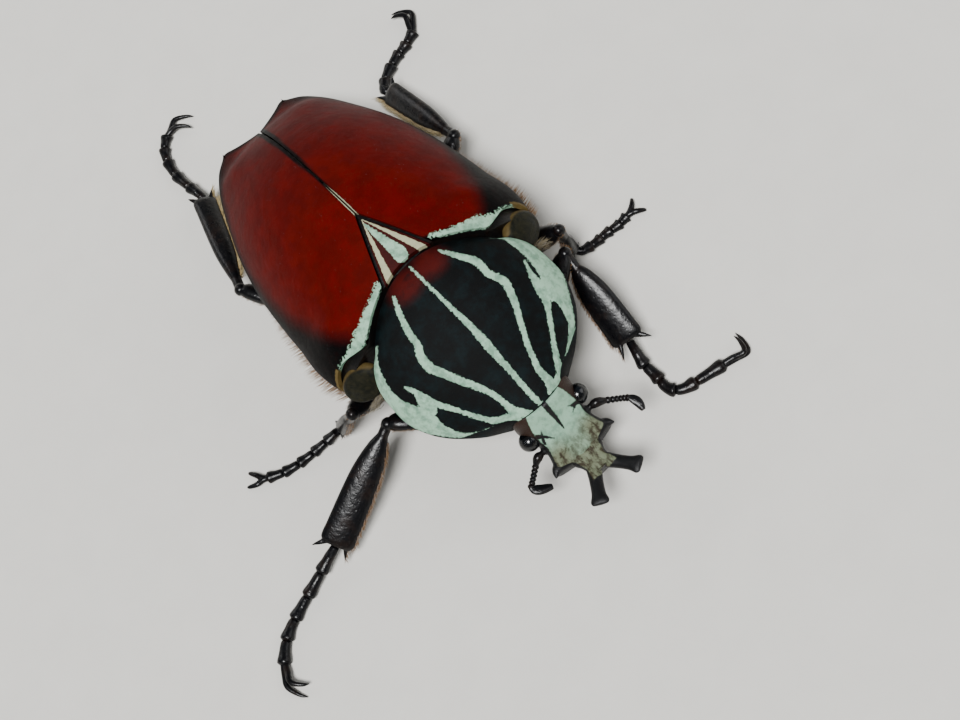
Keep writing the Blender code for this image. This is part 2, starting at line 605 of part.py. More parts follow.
def head_ring(y, half, top, bottom, sweep):
    ring = []
    middle = lerp(bottom, top, 0.45)
    for side in range(HEAD_SIDES):
        angle = 2 * math.pi * side / HEAD_SIDES
        wide = math.copysign(abs(math.sin(angle)) ** 0.75, math.sin(angle))
        tall = math.cos(angle)
        reach = top - middle if tall > 0 else middle - bottom
        height = middle + reach * math.copysign(abs(tall) ** 0.7, tall)
        if tall > 0:
            height -= HEAD_DISH * (1 - wide * wide) * min(tall * 2, 1)
        ring.append((half * wide, y + sweep * HEAD_SWEEP * wide * wide, height + LIFT))
    return ring


def section(y, half, top, bottom, sides):
    middle = (top + bottom) / 2
    tall = (top - bottom) / 2
    ring = []
    for side in range(sides):
        angle = 2 * math.pi * side / sides
        wide = math.copysign(abs(math.sin(angle)) ** 0.8, math.sin(angle))
        ring.append((half * wide, y, middle + tall * math.cos(angle)))
    return ring


def build_head(collection):
    verts, faces = loft([head_ring(*station) for station in HEAD_STATIONS])
    skull = new_object("head", verts, faces, "chalk white", collection)
    carve(skull, [ball("socket", (hand * EYE_CENTRE[0], EYE_CENTRE[1], EYE_CENTRE[2] + LIFT),
                       [EYE_RADIUS + GAP] * 3, "eye black", collection) for hand in (-1, 1)])
    level = Vector((0, 0, 1))
    parts = [piece([raised(section(*station, STEM_SIDES)) for station in HORN_STEM], "gloss black", collection)]
    for hand in (-1, 1):
        run = course([(hand * x, y, z) for x, y, z in raised(PRONG_RUN)], PRONG_STEPS)
        rings = tube(run, swell(PRONG_STEPS, PRONG_PROFILE), level, LEG_SIDES)
        parts.append(piece(rings, "gloss black", collection))
    fuse("horn", parts, "gloss black")
    for name, hand in (("left", 1), ("right", -1)):
        x, y, z = EYE_CENTRE
        ball("eye_" + name, (hand * x, y, z + LIFT), [EYE_RADIUS] * 3, "eye black", collection)
        run = course(FEELERS[name], FEELER_STEPS)
        verts, faces = loft(tube(run, swell(FEELER_STEPS, FEELER_PROFILE), level, LEG_SIDES))
        new_object("antenna_" + name, verts, faces, "gloss black", collection)
    run = course(raised(MOUTH_RUN), MOUTH_STEPS)
    verts, faces = loft(tube(run, swell(MOUTH_STEPS, MOUTH_PROFILE), level, MOUTH_SIDES))
    new_object("mouthparts", verts, faces, "gloss black", collection)


def scutellum(collection):
    """A small shield between the wing cases."""
    top = []
    for row in range(SCUTELLUM_ROWS + 1):
        share = row / SCUTELLUM_ROWS
        half = (SCUTELLUM_HALF - GAP) * (1 - share) + SCUTELLUM_POINT
        for column in range(SCUTELLUM_COLUMNS + 1):
            x = (2 * column / SCUTELLUM_COLUMNS - 1) * half
            y = lerp(pronotum_base(x) + GAP, SCUTELLUM_TIP - SCUTELLUM_SHORT, share)
            z = blend(SEAM_HEIGHT, y) + SCUTELLUM_PROUD - SCUTELLUM_BOW * x * x
            top.append((x, y, z + LIFT))
    under = [(x, y, z - SCUTELLUM_THICK) for x, y, z in top]
    verts, faces = shell(top, under, SCUTELLUM_ROWS, SCUTELLUM_COLUMNS)
    new_object("scutellum", verts, faces, "dark maroon", collection)


def build_body(collection):
    rings = [pronotum_ring(place / THORAX_ALONG) for place in range(THORAX_ALONG + 1)]
    verts, faces = loft([raised(ring) for ring in rings])
    new_object("prothorax", verts, faces, "velvet black", collection)
    for name, span in (("metathorax", METATHORAX_SPAN), ("abdomen", ABDOMEN_SPAN)):
        follow = 1 if name == "metathorax" else 0
        rings = [body_ring(lerp(span[0], span[1], step / BODY_ALONG), SHELL + GAP,
                           follow * (1 - step / BODY_ALONG)) for step in range(BODY_ALONG + 1)]
        verts, faces = loft([raised(ring) for ring in rings])
        new_object(name, verts, faces, "gloss black", collection)
    scutellum(collection)
    keel = ball("keel", raised([KEEL_CENTRE])[0], KEEL_RADII, "gloss black", collection)
    fuse("metathorax", [bpy.data.objects["metathorax"], keel], "gloss black")
    x, y, z = EPIMERON_CENTRE
    cutters = []
    for name, hand in (("left", 1), ("right", -1)):
        elytron("elytron_" + name, hand, collection)
        pose = (hand * EPIMERON_TURN, hand * EPIMERON_TILT, EPIMERON_LEAN)
        centre = (hand * x, y, z + LIFT)
        ball("epimeron_" + name, centre, EPIMERON_RADII, "olive brown", collection, *pose)
        room = [radius + GAP for radius in EPIMERON_RADII]
        cutters.append(ball("socket", centre, room, "olive brown", collection, *pose))
    carve(bpy.data.objects["metathorax"], cutters)
    rings = [section(*station, PYGIDIUM_SIDES) for station in PYGIDIUM_STATIONS]
    verts, faces = loft([raised(ring) for ring in rings])
    new_object("pygidium", verts, faces, "gloss black", collection)


for old in list(bpy.data.objects):
    bpy.data.objects.remove(old, do_unlink=True)
MATERIALS = {}
for label, (colour, roughness) in PALETTE.items():
    material = bpy.data.materials.new(label)
    material.use_nodes = True
    shader = material.node_tree.nodes["Principled BSDF"]
    shader.inputs["Base Color"].default_value = (*colour, 1)
    shader.inputs["Roughness"].default_value = roughness
    shader.inputs["Metallic"].default_value = 0
    MATERIALS[label] = material
beetle = bpy.data.collections.new("goliath beetle")
bpy.context.scene.collection.children.link(beetle)
build_body(beetle)
build_head(beetle)
for place, plan in LEGS.items():
    leg(place, plan, beetle)
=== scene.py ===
"""Looks of a male goliath beetle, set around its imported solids.

Sizes are in millimetres in the beetle's own frame and become metres in the row's frame where a
mesh is made: the beetle faces -Y, its left side is +X, and SHIFT puts its outline on the origin.
The body's heights are given before the legs raise it by LIFT; feelers and legs are given as they stand.
"""

import math

import bmesh
import bpy
import numpy as np
from mathutils import Matrix, Vector


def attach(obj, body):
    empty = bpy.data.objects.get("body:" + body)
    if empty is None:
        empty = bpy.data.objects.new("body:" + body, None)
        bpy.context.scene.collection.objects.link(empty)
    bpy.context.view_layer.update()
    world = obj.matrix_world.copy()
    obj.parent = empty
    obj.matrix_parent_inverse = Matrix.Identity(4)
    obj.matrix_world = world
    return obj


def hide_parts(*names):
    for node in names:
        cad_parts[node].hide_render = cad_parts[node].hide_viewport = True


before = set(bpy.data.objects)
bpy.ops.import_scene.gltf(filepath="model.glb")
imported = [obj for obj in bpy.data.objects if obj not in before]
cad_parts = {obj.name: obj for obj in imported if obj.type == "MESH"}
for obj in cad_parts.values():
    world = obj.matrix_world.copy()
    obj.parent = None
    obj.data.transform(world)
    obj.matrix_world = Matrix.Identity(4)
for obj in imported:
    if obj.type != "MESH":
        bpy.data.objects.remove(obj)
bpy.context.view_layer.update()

MM = 0.001
SHIFT = np.array((12.7, -13.7, 0.0))
LIFT = 2.5                # how far the legs raise the body
RAISE = np.array((0, 0, LIFT))
UP = np.array((0.0, 0.0, 1.0))
GAP = 0.3                 # clearance between neighbouring solids
SHELL = 0.8               # thickness of a wing case
WRAP = 104                # degrees a wing case wraps from the seam round the side
HANDS = (("left", 1), ("right", -1))      # each side and the sign of its x
CREASE = 50               # degrees of bend from which an edge is shown sharp
SEED = 7
MELT_SOFTEN = 0.5
BALL_ROWS = 16
BALL_SIDES = 28

# the photograph's camera
VIEW_AZIMUTH = math.radians(-8.61)
VIEW_ELEVATION = math.radians(65.0)
VIEW_ROLL = math.radians(-36.36)
VIEW_DISTANCE = 294.4
VIEW_AIM = (9.366, -12.089)          # sideways and upward offset of the camera in its own plane
VIEW_CENTRE = np.array((0.0, 0.0, 18.4 + LIFT))
FOCAL_PIXELS = 1819.1
PHOTO_SIZE = (960, 720)
SENSOR = 36.0
NEAREST = 0.01            # metres from the camera at which its view begins
PIXELS_PER_MM = 6.18      # scale of the photograph at the beetle's back
STRIPE_STEPS = 5          # straight pieces of a marking between two of its spots
UNMARKED = -9.0           # depth in a marking where none is near

# wing cases, as in the solids: stations are (place, value) pairs
SEAM_HEIGHT = ((-4, 27.4), (0, 28.2), (11.7, 29.2), (20, 28.4), (30, 25.6), (38, 21.3), (44, 16.2),
               (48, 11.6), (52, 8.9))
SIDE_REACH = ((-4, 20.4), (-1, 21.5), (4, 22.0), (9, 21.5), (14.4, 21.2), (23.2, 20.3), (31.5, 18.5),
              (38.3, 16.1), (45, 13.2), (49.5, 10.3), (51.7, 7.6))
SIDE_HEIGHT = ((-4, 16.6), (1, 15.4), (5.5, 14.3), (14.4, 12.4), (23.2, 10.9), (31.5, 9.8), (38.3, 9.2),
               (45, 8.6), (52, 8.0))
FRONT_EDGE = ((5, -0.1), (8, -1.2), (11.5, -2.8), (13.3, -3.5), (15.5, -2.8), (18, -1.6), (20, -1.4),
              (21.6, -2.2))
SEAM_END = 47.8
SHOULDER = 21.4
APEX_REACH = 4.1          # how far a wing case runs past the end of the seam
APEX_ROUND = 0.62         # how soon the rear edge runs that far on its way to the side
APEX_CUT = 1.6            # how far its outer rear corner is drawn in again
CUT_START = 0.85          # share of the way to the side where that begins
FRONT_WRAP = 0.05         # how far the front edge runs forward with each degree below the side
WRAP_DROP = 6             # how far the rim below the side would fall at a full turn, before WRAP_SHARE
WRAP_SHARE = 0.45
WRAP_TUCK = 0.35          # how far the same rim draws inward
SCUTELLUM_ROOM = 0.7      # further clearance beside the scutellum, as a share of GAP
COLUMN_EASE = 1.05        # power that gathers the columns toward the seam
ELYTRON_DOME = (2.1, 0.72)      # powers of the arch across both wing cases
HUMPS = ((16.5, 3.0, 3.2, 0.9), (8.5, 43.5, 3.6, 0.8))      # x, y, radius, height: shoulder and rear
SLOPE_STEP = 0.02         # distance along a wing case over which its slope is taken
ELYTRON_COLUMNS = 84
ELYTRON_ROWS = 130

# markings, painted sheen and painted shade of the wing cases; of a pair, the mark is absent at the first and
# full at the second
BAND_TURN = 95            # degrees round from the seam at which the pale band ends
MARGIN_WIDTH = ((0, 15.0), (3, 12.4), (8, 9.6), (16, 6.9), (28, 5.5), (44, 4.9), (54, 4.6))
MARGIN_FADE = (4.4, -2.2)
REAR_DARK = (1.9, 0.3)
# painted shade along the front edge, where the wing case meets the pronotum and the scutellum
PAINTED_FRONT_SHADE = (1.7, 0.9)
SEAM_BLACK = 0.7          # half width of the black along the seam
SEAM_BLACK_GROWTH = (10, 48)
SEAM_BLACK_FADE = (0.35, 0.1)
SEAM_BLACK_START = 4
SEAM_LINE = 0.29          # half width of the pale line along the seam
SEAM_LINE_LEAD = 0.6      # how far in front of the scutellum's tip it starts
SEAM_LINE_LOSS = 0.4      # how much narrower it is at SEAM_LINE_END
SEAM_LINE_END = (15, 26)
LIP_TURN = 60             # degrees round from the seam at which the tan lip starts
LIP_WIDTH = 0.55
DEEP_SHARE = 0.25         # of the deeper red toward the rear
DEEP_RUN = (14, 42)
# painted sheen: grey-purple toward the outer edge of each wing case, full near that edge and some way behind
# the front
PAINTED_SHEEN_EDGE = (4.2, 2.8)
PAINTED_SHEEN_START = (3, 6)

# the small shield between the wing cases
SCUTELLUM_HALF = 5.0
SCUTELLUM_TIP = 11.7
SCUTELLUM_THICK = 1.0
SCUTELLUM_POINT = 0.12    # half width left at its tip
SCUTELLUM_SHORT = 1.4     # how far its tip stops before the wing cases meet
SCUTELLUM_PROUD = 0.1
SCUTELLUM_BOW = 0.02
SCUTELLUM_ROUND = (0.25, 6)      # drop and power of its rounded edges
SCUTELLUM_ROWS = 40
SCUTELLUM_COLUMNS = 32
CREAM_WIDTH = (0.15, 1.6)      # width of its cream edges at the tip and at the front
CREAM_INSET = 0.04

# pronotum and its underside
BASE_ARCH = 4.3           # how far the hind edge falls forward at its corners
BASE_HALF = 12.7
BASE_LIMIT = 1.05
PRONOTUM_REACH = ((0, 6.6), (0.09, 10.3), (0.23, 13.7), (0.37, 15.9), (0.54, 17.3), (0.7, 17.4), (0.84, 16.8),
                  (0.94, 15.3), (1, 13.5))
PRONOTUM_RIM = ((0, 12.5), (0.2, 13.7), (0.5, 15.1), (0.75, 17.4), (1, 21.2))
PRONOTUM_CREST = ((0, 17.0), (0.2, 20.0), (0.45, 24.3), (0.7, 26.8), (0.88, 27.5), (1, 27.0))
PRONOTUM_DOME = (2.1, 0.78)
PRONOTUM_FRONT = -29.0
FRONT_CORNER = -26.4
PRONOTUM_BELLY = ((0, 7.6), (0.3, 5.2), (0.6, 4.0), (1, 4.6))
BELLY_POWER = 1.6
BELLY_EASE = 1.15         # power that gathers the columns toward the middle
RIM_THICK = 0.7
PRONOTUM_ROWS = 130
PRONOTUM_COLUMNS = 80
BELLY_COLUMNS = 30
WHITE_FACING = 0.02       # least share by which white skin faces the photograph's camera
WHITE_FRONT = -0.75       # and how far it may face forward
WARM_CENTRE = (2.6, -2.6)
WARM_STRETCH = (1.2, 1.4)
WARM_FADE = (5.5, 1.5)

# trunk under the wing cases, its tail plate and the plates at the shoulders
TRUNK_SPANS = {"metathorax": (1.0, 21.6), "abdomen": (21.9, 46.5)}
TRUNK_TURN = 97           # degrees round from the seam at which the belly begins
TRUNK_POWER = 2.4
BELLY_HEIGHT = ((-5, 4.6), (0, 3.8), (12, 3.4), (22, 3.6), (32, 4.1), (40, 4.9), (47, 6.2))
TRUNK_COLUMNS = 40
TRUNK_SIDES = 26
TRUNK_ROWS = 60
PATH_STEPS = 24
KEEL_CENTRE = (0, -2.6, 3.2)
KEEL_RADII = (1.9, 5.0, 1.0)
BELLY_SEGMENTS = 5
GROOVE_DEPTH = 0.35
GROOVE_WIDTH = 0.1        # as a share of a segment
PYGIDIUM_STATIONS = ((46.9, 7.74, 9.8, 6.4), (48.4, 6.66, 8.6, 6.6), (49.4, 4.14, 7.9, 6.9))
PYGIDIUM_ROWS = 20
PYGIDIUM_SIDES = 40
EPIMERON_CENTRE = (17.7, -4.6, 17.0)      # higher than the solid's, close under the wing case
EPIMERON_RADII = (4.3, 2.0, 3.2)
EPIMERON_TURN = 0.25
EPIMERON_TILT = 0.72
EPIMERON_LEAN = -0.7
EPIMERON_ROWS = 48
EPIMERON_SIDES = 96
EPIMERON_HOLLOW = 0.22
HOLLOW_FADE = (0.85, 0.55)
EPIMERON_BARE = (0.4, 0.25)      # how far the rim thins on the lower half, and half the height of that step

# head and horn: stations hold y, half width, top height, bottom height and, for the head, sweep of the sides
NECK_STATION = (-28.5, 5.6, 16.9, 8.6, 1.0)      # joins the head to the pronotum
HEAD_STATIONS = (
    (-29.35, 6.0, 16.6, 8.0, 0.85), (-30.3, 5.6, 14.9, 6.9, 0.7), (-31.2, 5.0, 13.2, 6.2, 0.3),
    (-32.4, 4.8, 11.8, 5.6, 0.1), (-33.7, 5.2, 10.5, 5.0, 0), (-34.7, 5.8, 9.4, 4.8, 0),
    (-35.5, 6.0, 8.7, 5.0, 0), (-36.1, 3.3, 8.3, 5.2, 0))
HEAD_SWEEP = 2.5          # how far the head's hind corners reach back beside the pronotum
HEAD_DISH = 0.5           # depth of the hollow along the top of the head
HEAD_MIDDLE = 0.45        # where a section is widest, as a share of its height
HEAD_SQUARE = (0.75, 0.7)      # powers that square a section sideways and upward
HEAD_ROWS = 70
HEAD_SIDES = 96
HEAD_GRAIN = 0.13
HEAD_PASSES = 4
CORNER_RUN = ((4.4, -34.4, 7.0), (5.6, -35.0, 7.2), (6.5, -35.9, 7.5))      # tooth at the front corner
CORNER_PROFILE = ((0, 1.1, 1.2), (0.5, 0.8, 0.9), (1, 0.12, 0.12))
CORNER_STEPS = 10
CORNER_SIDES = 20
SOCKET_SHIFT = (-0.75, 0.75, 0.35)      # swelling behind the eye, from the eye's centre
SOCKET_RADII = (1.6, 1.35, 1.3)
FEELER_BED_SHIFT = (-0.9, 0.1, -0.2)      # swelling round a feeler's root
FEELER_BED_RADII = (0.85, 0.85, 0.75)
BROW_HEIGHT = 0.3         # of the raised sides of the clypeus, and depth of the hollow between them
BROW_INSET = 0.5
BROW_WIDTH = 0.45
BROW_FACING = (0.3, 0.7)
BROW_START = (-31.4, -33.0)
BROW_END = (-35.7, -34.4)
BROW_HOLLOW = (2.6, 0.8)
# half width of the white plate of the head and horn at each distance forward
PLATE_REACH = ((27.0, 3.3), (28.4, 3.5), (29.2, 4.0), (30.2, 4.3), (31.0, 4.3), (32.2, 4.1), (33.2, 4.3),
               (34.4, 4.8), (35.2, 4.8), (36.0, 2.8), (37.4, 2.2), (38.6, 2.0), (39.6, 2.35), (40.6, 2.5),
               (41.6, 2.3))
WHITE_RISE = 0.3          # least share by which the white plate faces up
RISE_SCALE = 2.0          # depth of black for each share less
STAIN_START = (-31.4, -34.2)
STAIN_LEAD = 0.5
STAIN_MIDDLE = (3.0, 0.5)
STAIN_LEAST = 0.6
STAIN_SIDES = (0.8, 3.2)
BROWN_START = (-31.0, -29.4)
BROWN_SIDES = (2.0, 3.0)
HORN_STEM = ((-35.4, 3.0, 8.3, 5.4), (-36.5, 3.0, 8.2, 5.4), (-37.4, 2.5, 8.0, 5.3), (-38.6, 2.3, 7.9, 5.2),
             (-40.0, 2.8, 7.8, 5.3))
PRONG_RUN = ((1.2, -39.0, 6.6), (2.6, -41.2, 7.0), (4.5, -44.4, 8.2))
PRONG_PROFILE = ((0, 1.3, 1.2), (0.4, 1.15, 1.0), (0.75, 1.2, 0.8), (0.93, 1.55, 0.62), (1, 1.3, 0.3))
HORN_STEPS = 30
STEM_SIDES = 48
PRONG_SIDES = 32
HORN_PASSES = 6
HORN_HOLLOW = 0.45
HORN_HOLLOW_SIDES = (2.0, 0.6)
HORN_HOLLOW_END = (-40.8, -39.5)
HORN_HOLLOW_RISE = 0.4
PRONG_BLACK = -40.6       # the prongs are black in front of this
PRONG_BLACK_SCALE = 0.9
SECTION_SQUARE = 0.8

# eyes, mouthparts and feelers; profiles are (place, half width, half depth)
EYE_CENTRE = (5.5, -29.6, 10.6)
EYE_SHIFT = (-0.1, 0.25, 0)      # where the lens sits, from the eye's centre
EYE_LENS = 1.75
EYE_ROWS = 48
EYE_SIDES = 64
MOUTH_RUN = ((0, -29.8, 6.2), (0, -32.5, 4.6), (0, -34.6, 4.0))
MOUTH_PROFILE = ((0, 2.2, 1.2), (0.5, 2.8, 1.3), (1, 1.7, 0.9))
MOUTH_STEPS = 24
MOUTH_SIDES = 32
FEELERS = {
    "right": ((-5.4, -31.9, 12.0), (-6.4, -32.0, 12.0), (-7.7, -32.6, 11.3), (-9.2, -33.4, 10.5),
              (-10.3, -34.1, 9.9), (-9.6, -35.1, 9.6), (-7.7, -36.1, 9.2)),
    "left": ((5.4, -32.0, 12.2), (6.7, -32.4, 12.3), (8.3, -33.2, 11.5), (9.8, -34.1, 10.8),
             (10.9, -34.9, 10.2), (11.4, -36.2, 9.8), (11.2, -37.6, 9.4)),
}
FEELER_STEPS = 120
FEELER_SIDES = 20
FEELER_JOINTS = (         # start and end as shares of the feeler, and radius
    (0.0, 0.28, 0.78), (0.28, 0.35, 0.60), (0.35, 0.41, 0.58), (0.41, 0.47, 0.57), (0.47, 0.53, 0.57),
    (0.53, 0.59, 0.58), (0.59, 0.66, 0.62))
FEELER_NECK = 0.45        # share of a joint's radius that it keeps at its ends
FEELER_INSIDE = (-1.2, 0, -0.4)      # where a feeler starts inside the head, from its root
FEELER_STALK = 0.5        # radius there
STALK_STEPS = 8
STALK_END = 6             # step of the feeler at which the stalk ends
JOINT_SWELL = (0.1, 0.8)      # part of a half wave that a joint's radius follows: start and length
CLUB_START = 0.66
CLUB_HALF = 0.72
CLUB_THICK = 0.24
CLUB_EDGE = 0.05
CLUB_POWER = 0.6
CLUB_SWELL = (0.12, 0.8)
LEAF_STEP = 0.34          # height between the leaves of the club

# hair
HAIR_SIDES = 3
HAIR_STATIONS = ((0, 1.0), (0.35, 0.85), (0.72, 0.5))      # (place along a tuft, share of its root's radius)
HAIR_ACROSS = (0.31, 0.22, 0.93)      # a slanting direction from which a tuft's sideways one is found
PATCH = 0.003             # width of a tuft's patch on the map
PATCH_TURN = 2.4
FLANK_TUFTS = 3600
FLANK_RADIUS = 0.08
FLANK_ROWS = 40
FLANK_BAND = 12           # columns below the side that may carry tufts
FLANK_GATHER = 2.4        # how strongly they gather at the side
FLANK_AIM = ((0.8, 0.3), (0.3, 0.5), (-0.4, 0.4))      # outward, back and up, as least and random part
FLANK_LENGTH = {"metathorax": 2.4, "abdomen": 1.5}
FLANK_SPREAD = 1.1        # further length at random
FLANK_FADE = (-0.05, 0.2)
FLANK_END = 1.05
ROW_SLACK = 0.01          # keeps every root in front of the last row
FLANK_DROOP = (0, 0.3, -0.15)
FRINGE_DEPTH = 2.0        # tufts rooted this near below the edge reach out past it
FRINGE_REACH = ((-8, 1.8), (0, 2.5), (14, 2.3), (22, 1.1), (30, 0.5), (50, 0.5))
FRINGE_BACK = (0.4, 1.2)      # how far behind their roots they end, as least and random part
FRINGE_DROP = (0.3, 0.7)      # how far below the edge they end
FRINGE_POWER = 0.7
FRINGE_STIFF = 0.2        # share of the droop that they keep
RIM_CLEARANCE = 0.05      # how far below the wing case's edge the fringe is rooted
RIM_STEPS = 60
SHOULDER_LINE = ((14.6, -6.6, 14.6), (19.0, -7.0, 12.4))      # line of the roots
SHOULDER_TUFTS = 260
SHOULDER_SCATTER = 0.35
SHOULDER_AIM = (0.9, -0.1, 0.5)
SHOULDER_SPREAD = 0.25
SHOULDER_LENGTH = (0.9, 0.6)
SHOULDER_DROOP = (0.3, -0.1, -0.3)
SHOULDER_RADIUS = 0.06
PILE_SINK = 0.08          # how deep a short hair is rooted
PILE_RISE = 0.75
PILE_SPREAD = 0.2
PILE_LENGTH = (0.6, 0.4)
PILE_DROOP = 0.35
PILE_RADIUS = 0.05
PILE_ACROSS = (0.2, 0.1, 0.97)
MAP_EDGE = 0.01           # border of the map that stays free
SHOULDER_MAP_EDGE = 0.05

# legs
LEG_POINTS = ("coxa", "hip", "thigh", "knee", "ankle")
COXA_RADII = (3.1, 2.3, 1.9)
COXA_TURN = 0.3
FEMUR_TALL = (0, -1, 0.35)      # the way the deep side of a femur faces
FEMUR_PROFILE = ((0, 0.9, 1.1), (0.15, 1.5, 2.0), (0.5, 1.7, 2.6), (0.8, 1.5, 2.1), (0.93, 1.3, 1.6),
                 (1, 0.85, 1.0))
FEMUR_STEPS = 48
KNEE_BALL = (1.0, 1.0, 1.0)
HIP_BALL = (1.05, 1.05, 1.05)
HIP_ROOT = (0.6, 0.12)      # bends of the femur's root: share of coxa to hip, share of hip to thigh
HIP_ROOT_SIZE = (0.95, 1.05)
FEMUR_HAIR = (260, 0.6)      # count and length
FEMUR_HAIR_LAY = 0.9
FEMUR_HAIR_FACING = 0.35      # the hair is on skin that faces up or down less than this
KNEE_ROOM = 1.3           # the tibia starts this far from the knee, and further where the knee is folded
KNEE_FOLD = 1.6
TIBIA_PROFILE = ((0.12, 0.58, 1.05), (0.32, 0.86, 1.2), (0.5, 0.95, 1.2), (0.85, 1, 1.1), (0.96, 1, 0.95),
                 (1, 0.8, 0.6))      # half widths as shares of the plan's
TIBIA_TOP = (0, 0.75, 0.7)
TIBIA_STEPS = 60
TIBIA_BALL = (1.15, 1.15, 1.15)
TIBIA_NECK = (0.95, 0.85)
NECK_END = 0.1
# place, root as a share of the half width, outward and downward aim, length as such a share, radius
TIBIA_TEETH = ((0.97, 0.5, 1.0, 0.9, 0.75, 0.6), (0.62, 0.45, 0.9, 0.6, 0.6, 0.5))
SPUR_PLACE = 0.96
SPUR_ROOT = 0.5
SPUR_LEAN = 0.35
SPUR_LENGTH = 0.4
SPUR_GROWTH = 0.8         # further length for each mm of the tibia's half width
SPUR_THICK = 0.5
SPUR_LIFT = 0.35          # the first spur stands this far off the flat of the shin, the next SPUR_STEP lower
SPUR_STEP = 0.8
SPUR_TURN = 0.5
SPIKE_PROFILE = ((0, 1.0, 0.8), (0.5, 0.7, 0.6))      # shares of a spike's radius
SPIKE_TIP = (1, 0.1, 0.1)
LOWEST_SPIKE = 0.3
LEG_SIDES = 40
NECK_SIDES = 24
NECK_STEPS = 12
SPIKE_SIDES = 16
SPIKE_STEPS = 12
LEG_GRAIN = 0.15
LEG_PASSES = 3
SHIN_HAIR = {"front": (500, 1.0), "middle": (200, 0.7), "hind": (1100, 1.7)}      # count and length
SHIN_HAIR_FACING = -0.72
SHIN_HAIR_START = 1
SHIN_HAIR_LAY = 0.8
TOE_JOINTS = 5
TOE_ROWS = 12
TOE_SINK = 0.22           # lowers the toes so that their flared ends stand on small flats
TOE_START = 0.1           # share of the way to its first spot at which the first joint starts
TOE_SIDES = 24
TOE_PROFILE = ((0, 0.58, 0.56), (0.1, 0.72, 0.66), (0.5, 0.8, 0.72), (0.85, 1.0, 0.86), (0.95, 0.92, 0.8),
               (1, 0.66, 0.6))      # shares of the toe's half width over one joint
CLAW_PROFILE = ((0, 0.6, 0.56), (0.3, 0.56, 0.52), (0.6, 0.44, 0.42), (0.85, 0.26, 0.26), (1, 0.06, 0.06))
CLAW_STEPS = 32
CLAW_SPREAD = 0.16
CLAW_SINK = 0.4
CLAW_BOW = 0.35
CLAW_BENDS = (0.45, 0.55)      # where a claw's bends lie between its root, bulge and tip
CLAW_FLOORS = (0.07, 0.12)
CLAW_BACK = 10            # steps of the last joint that give the direction of its end

# floor and light, in metres
FLOOR_FIRST = (0.001, 0.3)      # reach of the floor's first rings
FLOOR_REACH = 2.4         # where the backdrop rises
FLOOR_SIDES = 96
BACKDROP_BEND = 0.8
BACKDROP_STEPS = 12
BACKDROP_TOP = 1.3
LIGHTS = {                # direction towards the lamp, irradiance, angle it fills in radians
    "key": ((-0.18, -0.20, 0.60), 5.6, 0.34),
    "fill": ((0.5, -0.2, 0.4), 0.8, 0.7),
    "rim": ((-0.1, 0.6, 0.4), 0.45, 0.4),
}
SKY = (0.9, 0.94, 1.0)
SKY_STRENGTH = 0.19

# colours, as 0 to 255 display values
VELVET = (4, 8, 9)
# blue-green painted sheen of the velvet, laid in random patches
PAINTED_VELVET_SHEEN = (10, 22, 24)
CHALK = (143, 178, 154)
CHALK_SHADE = (105, 137, 117)
STAIN = (92, 90, 70)
STAIN_DARK = (46, 40, 28)
SEAM_PALE = (146, 142, 118)
TAN = (104, 88, 54)
TAN_SHADE = (58, 48, 29)
OXBLOOD = (80, 12, 7)
OXBLOOD_DEEP = (46, 8, 7)
MARGIN_BLACK = (9, 8, 9)
# grey-purple painted sheen near the outer edges of the wing cases
PAINTED_SHEEN = (25, 23, 28)
DUST = (160, 165, 175)
GLOSS = (14, 14, 16)
GLOSS_BROWN = (26, 20, 18)
MAROON = (64, 16, 13)
SHIELD = (34, 9, 9)
SHIELD_RED = (62, 16, 12)
CREAM = (172, 174, 144)
CREAM_SHADE = (136, 136, 106)
TEMPLE_BROWN = (36, 21, 12)
BELLY = (11, 10, 10)
BELLY_BROWN = (24, 16, 12)
EYE = (7, 8, 9)
EYE_BLUE = (10, 15, 20)
OLIVE = (33, 32, 21)
OLIVE_SHADE = (15, 17, 12)
GOLD = ((66, 42, 15), (136, 96, 38))      # of a hair's root and tip
STRAW = ((120, 96, 56), (200, 184, 134))
DUN = ((54, 44, 28), (132, 118, 80))
PAPER = (206, 204, 198)
PAPER_SHADE = (196, 194, 188)

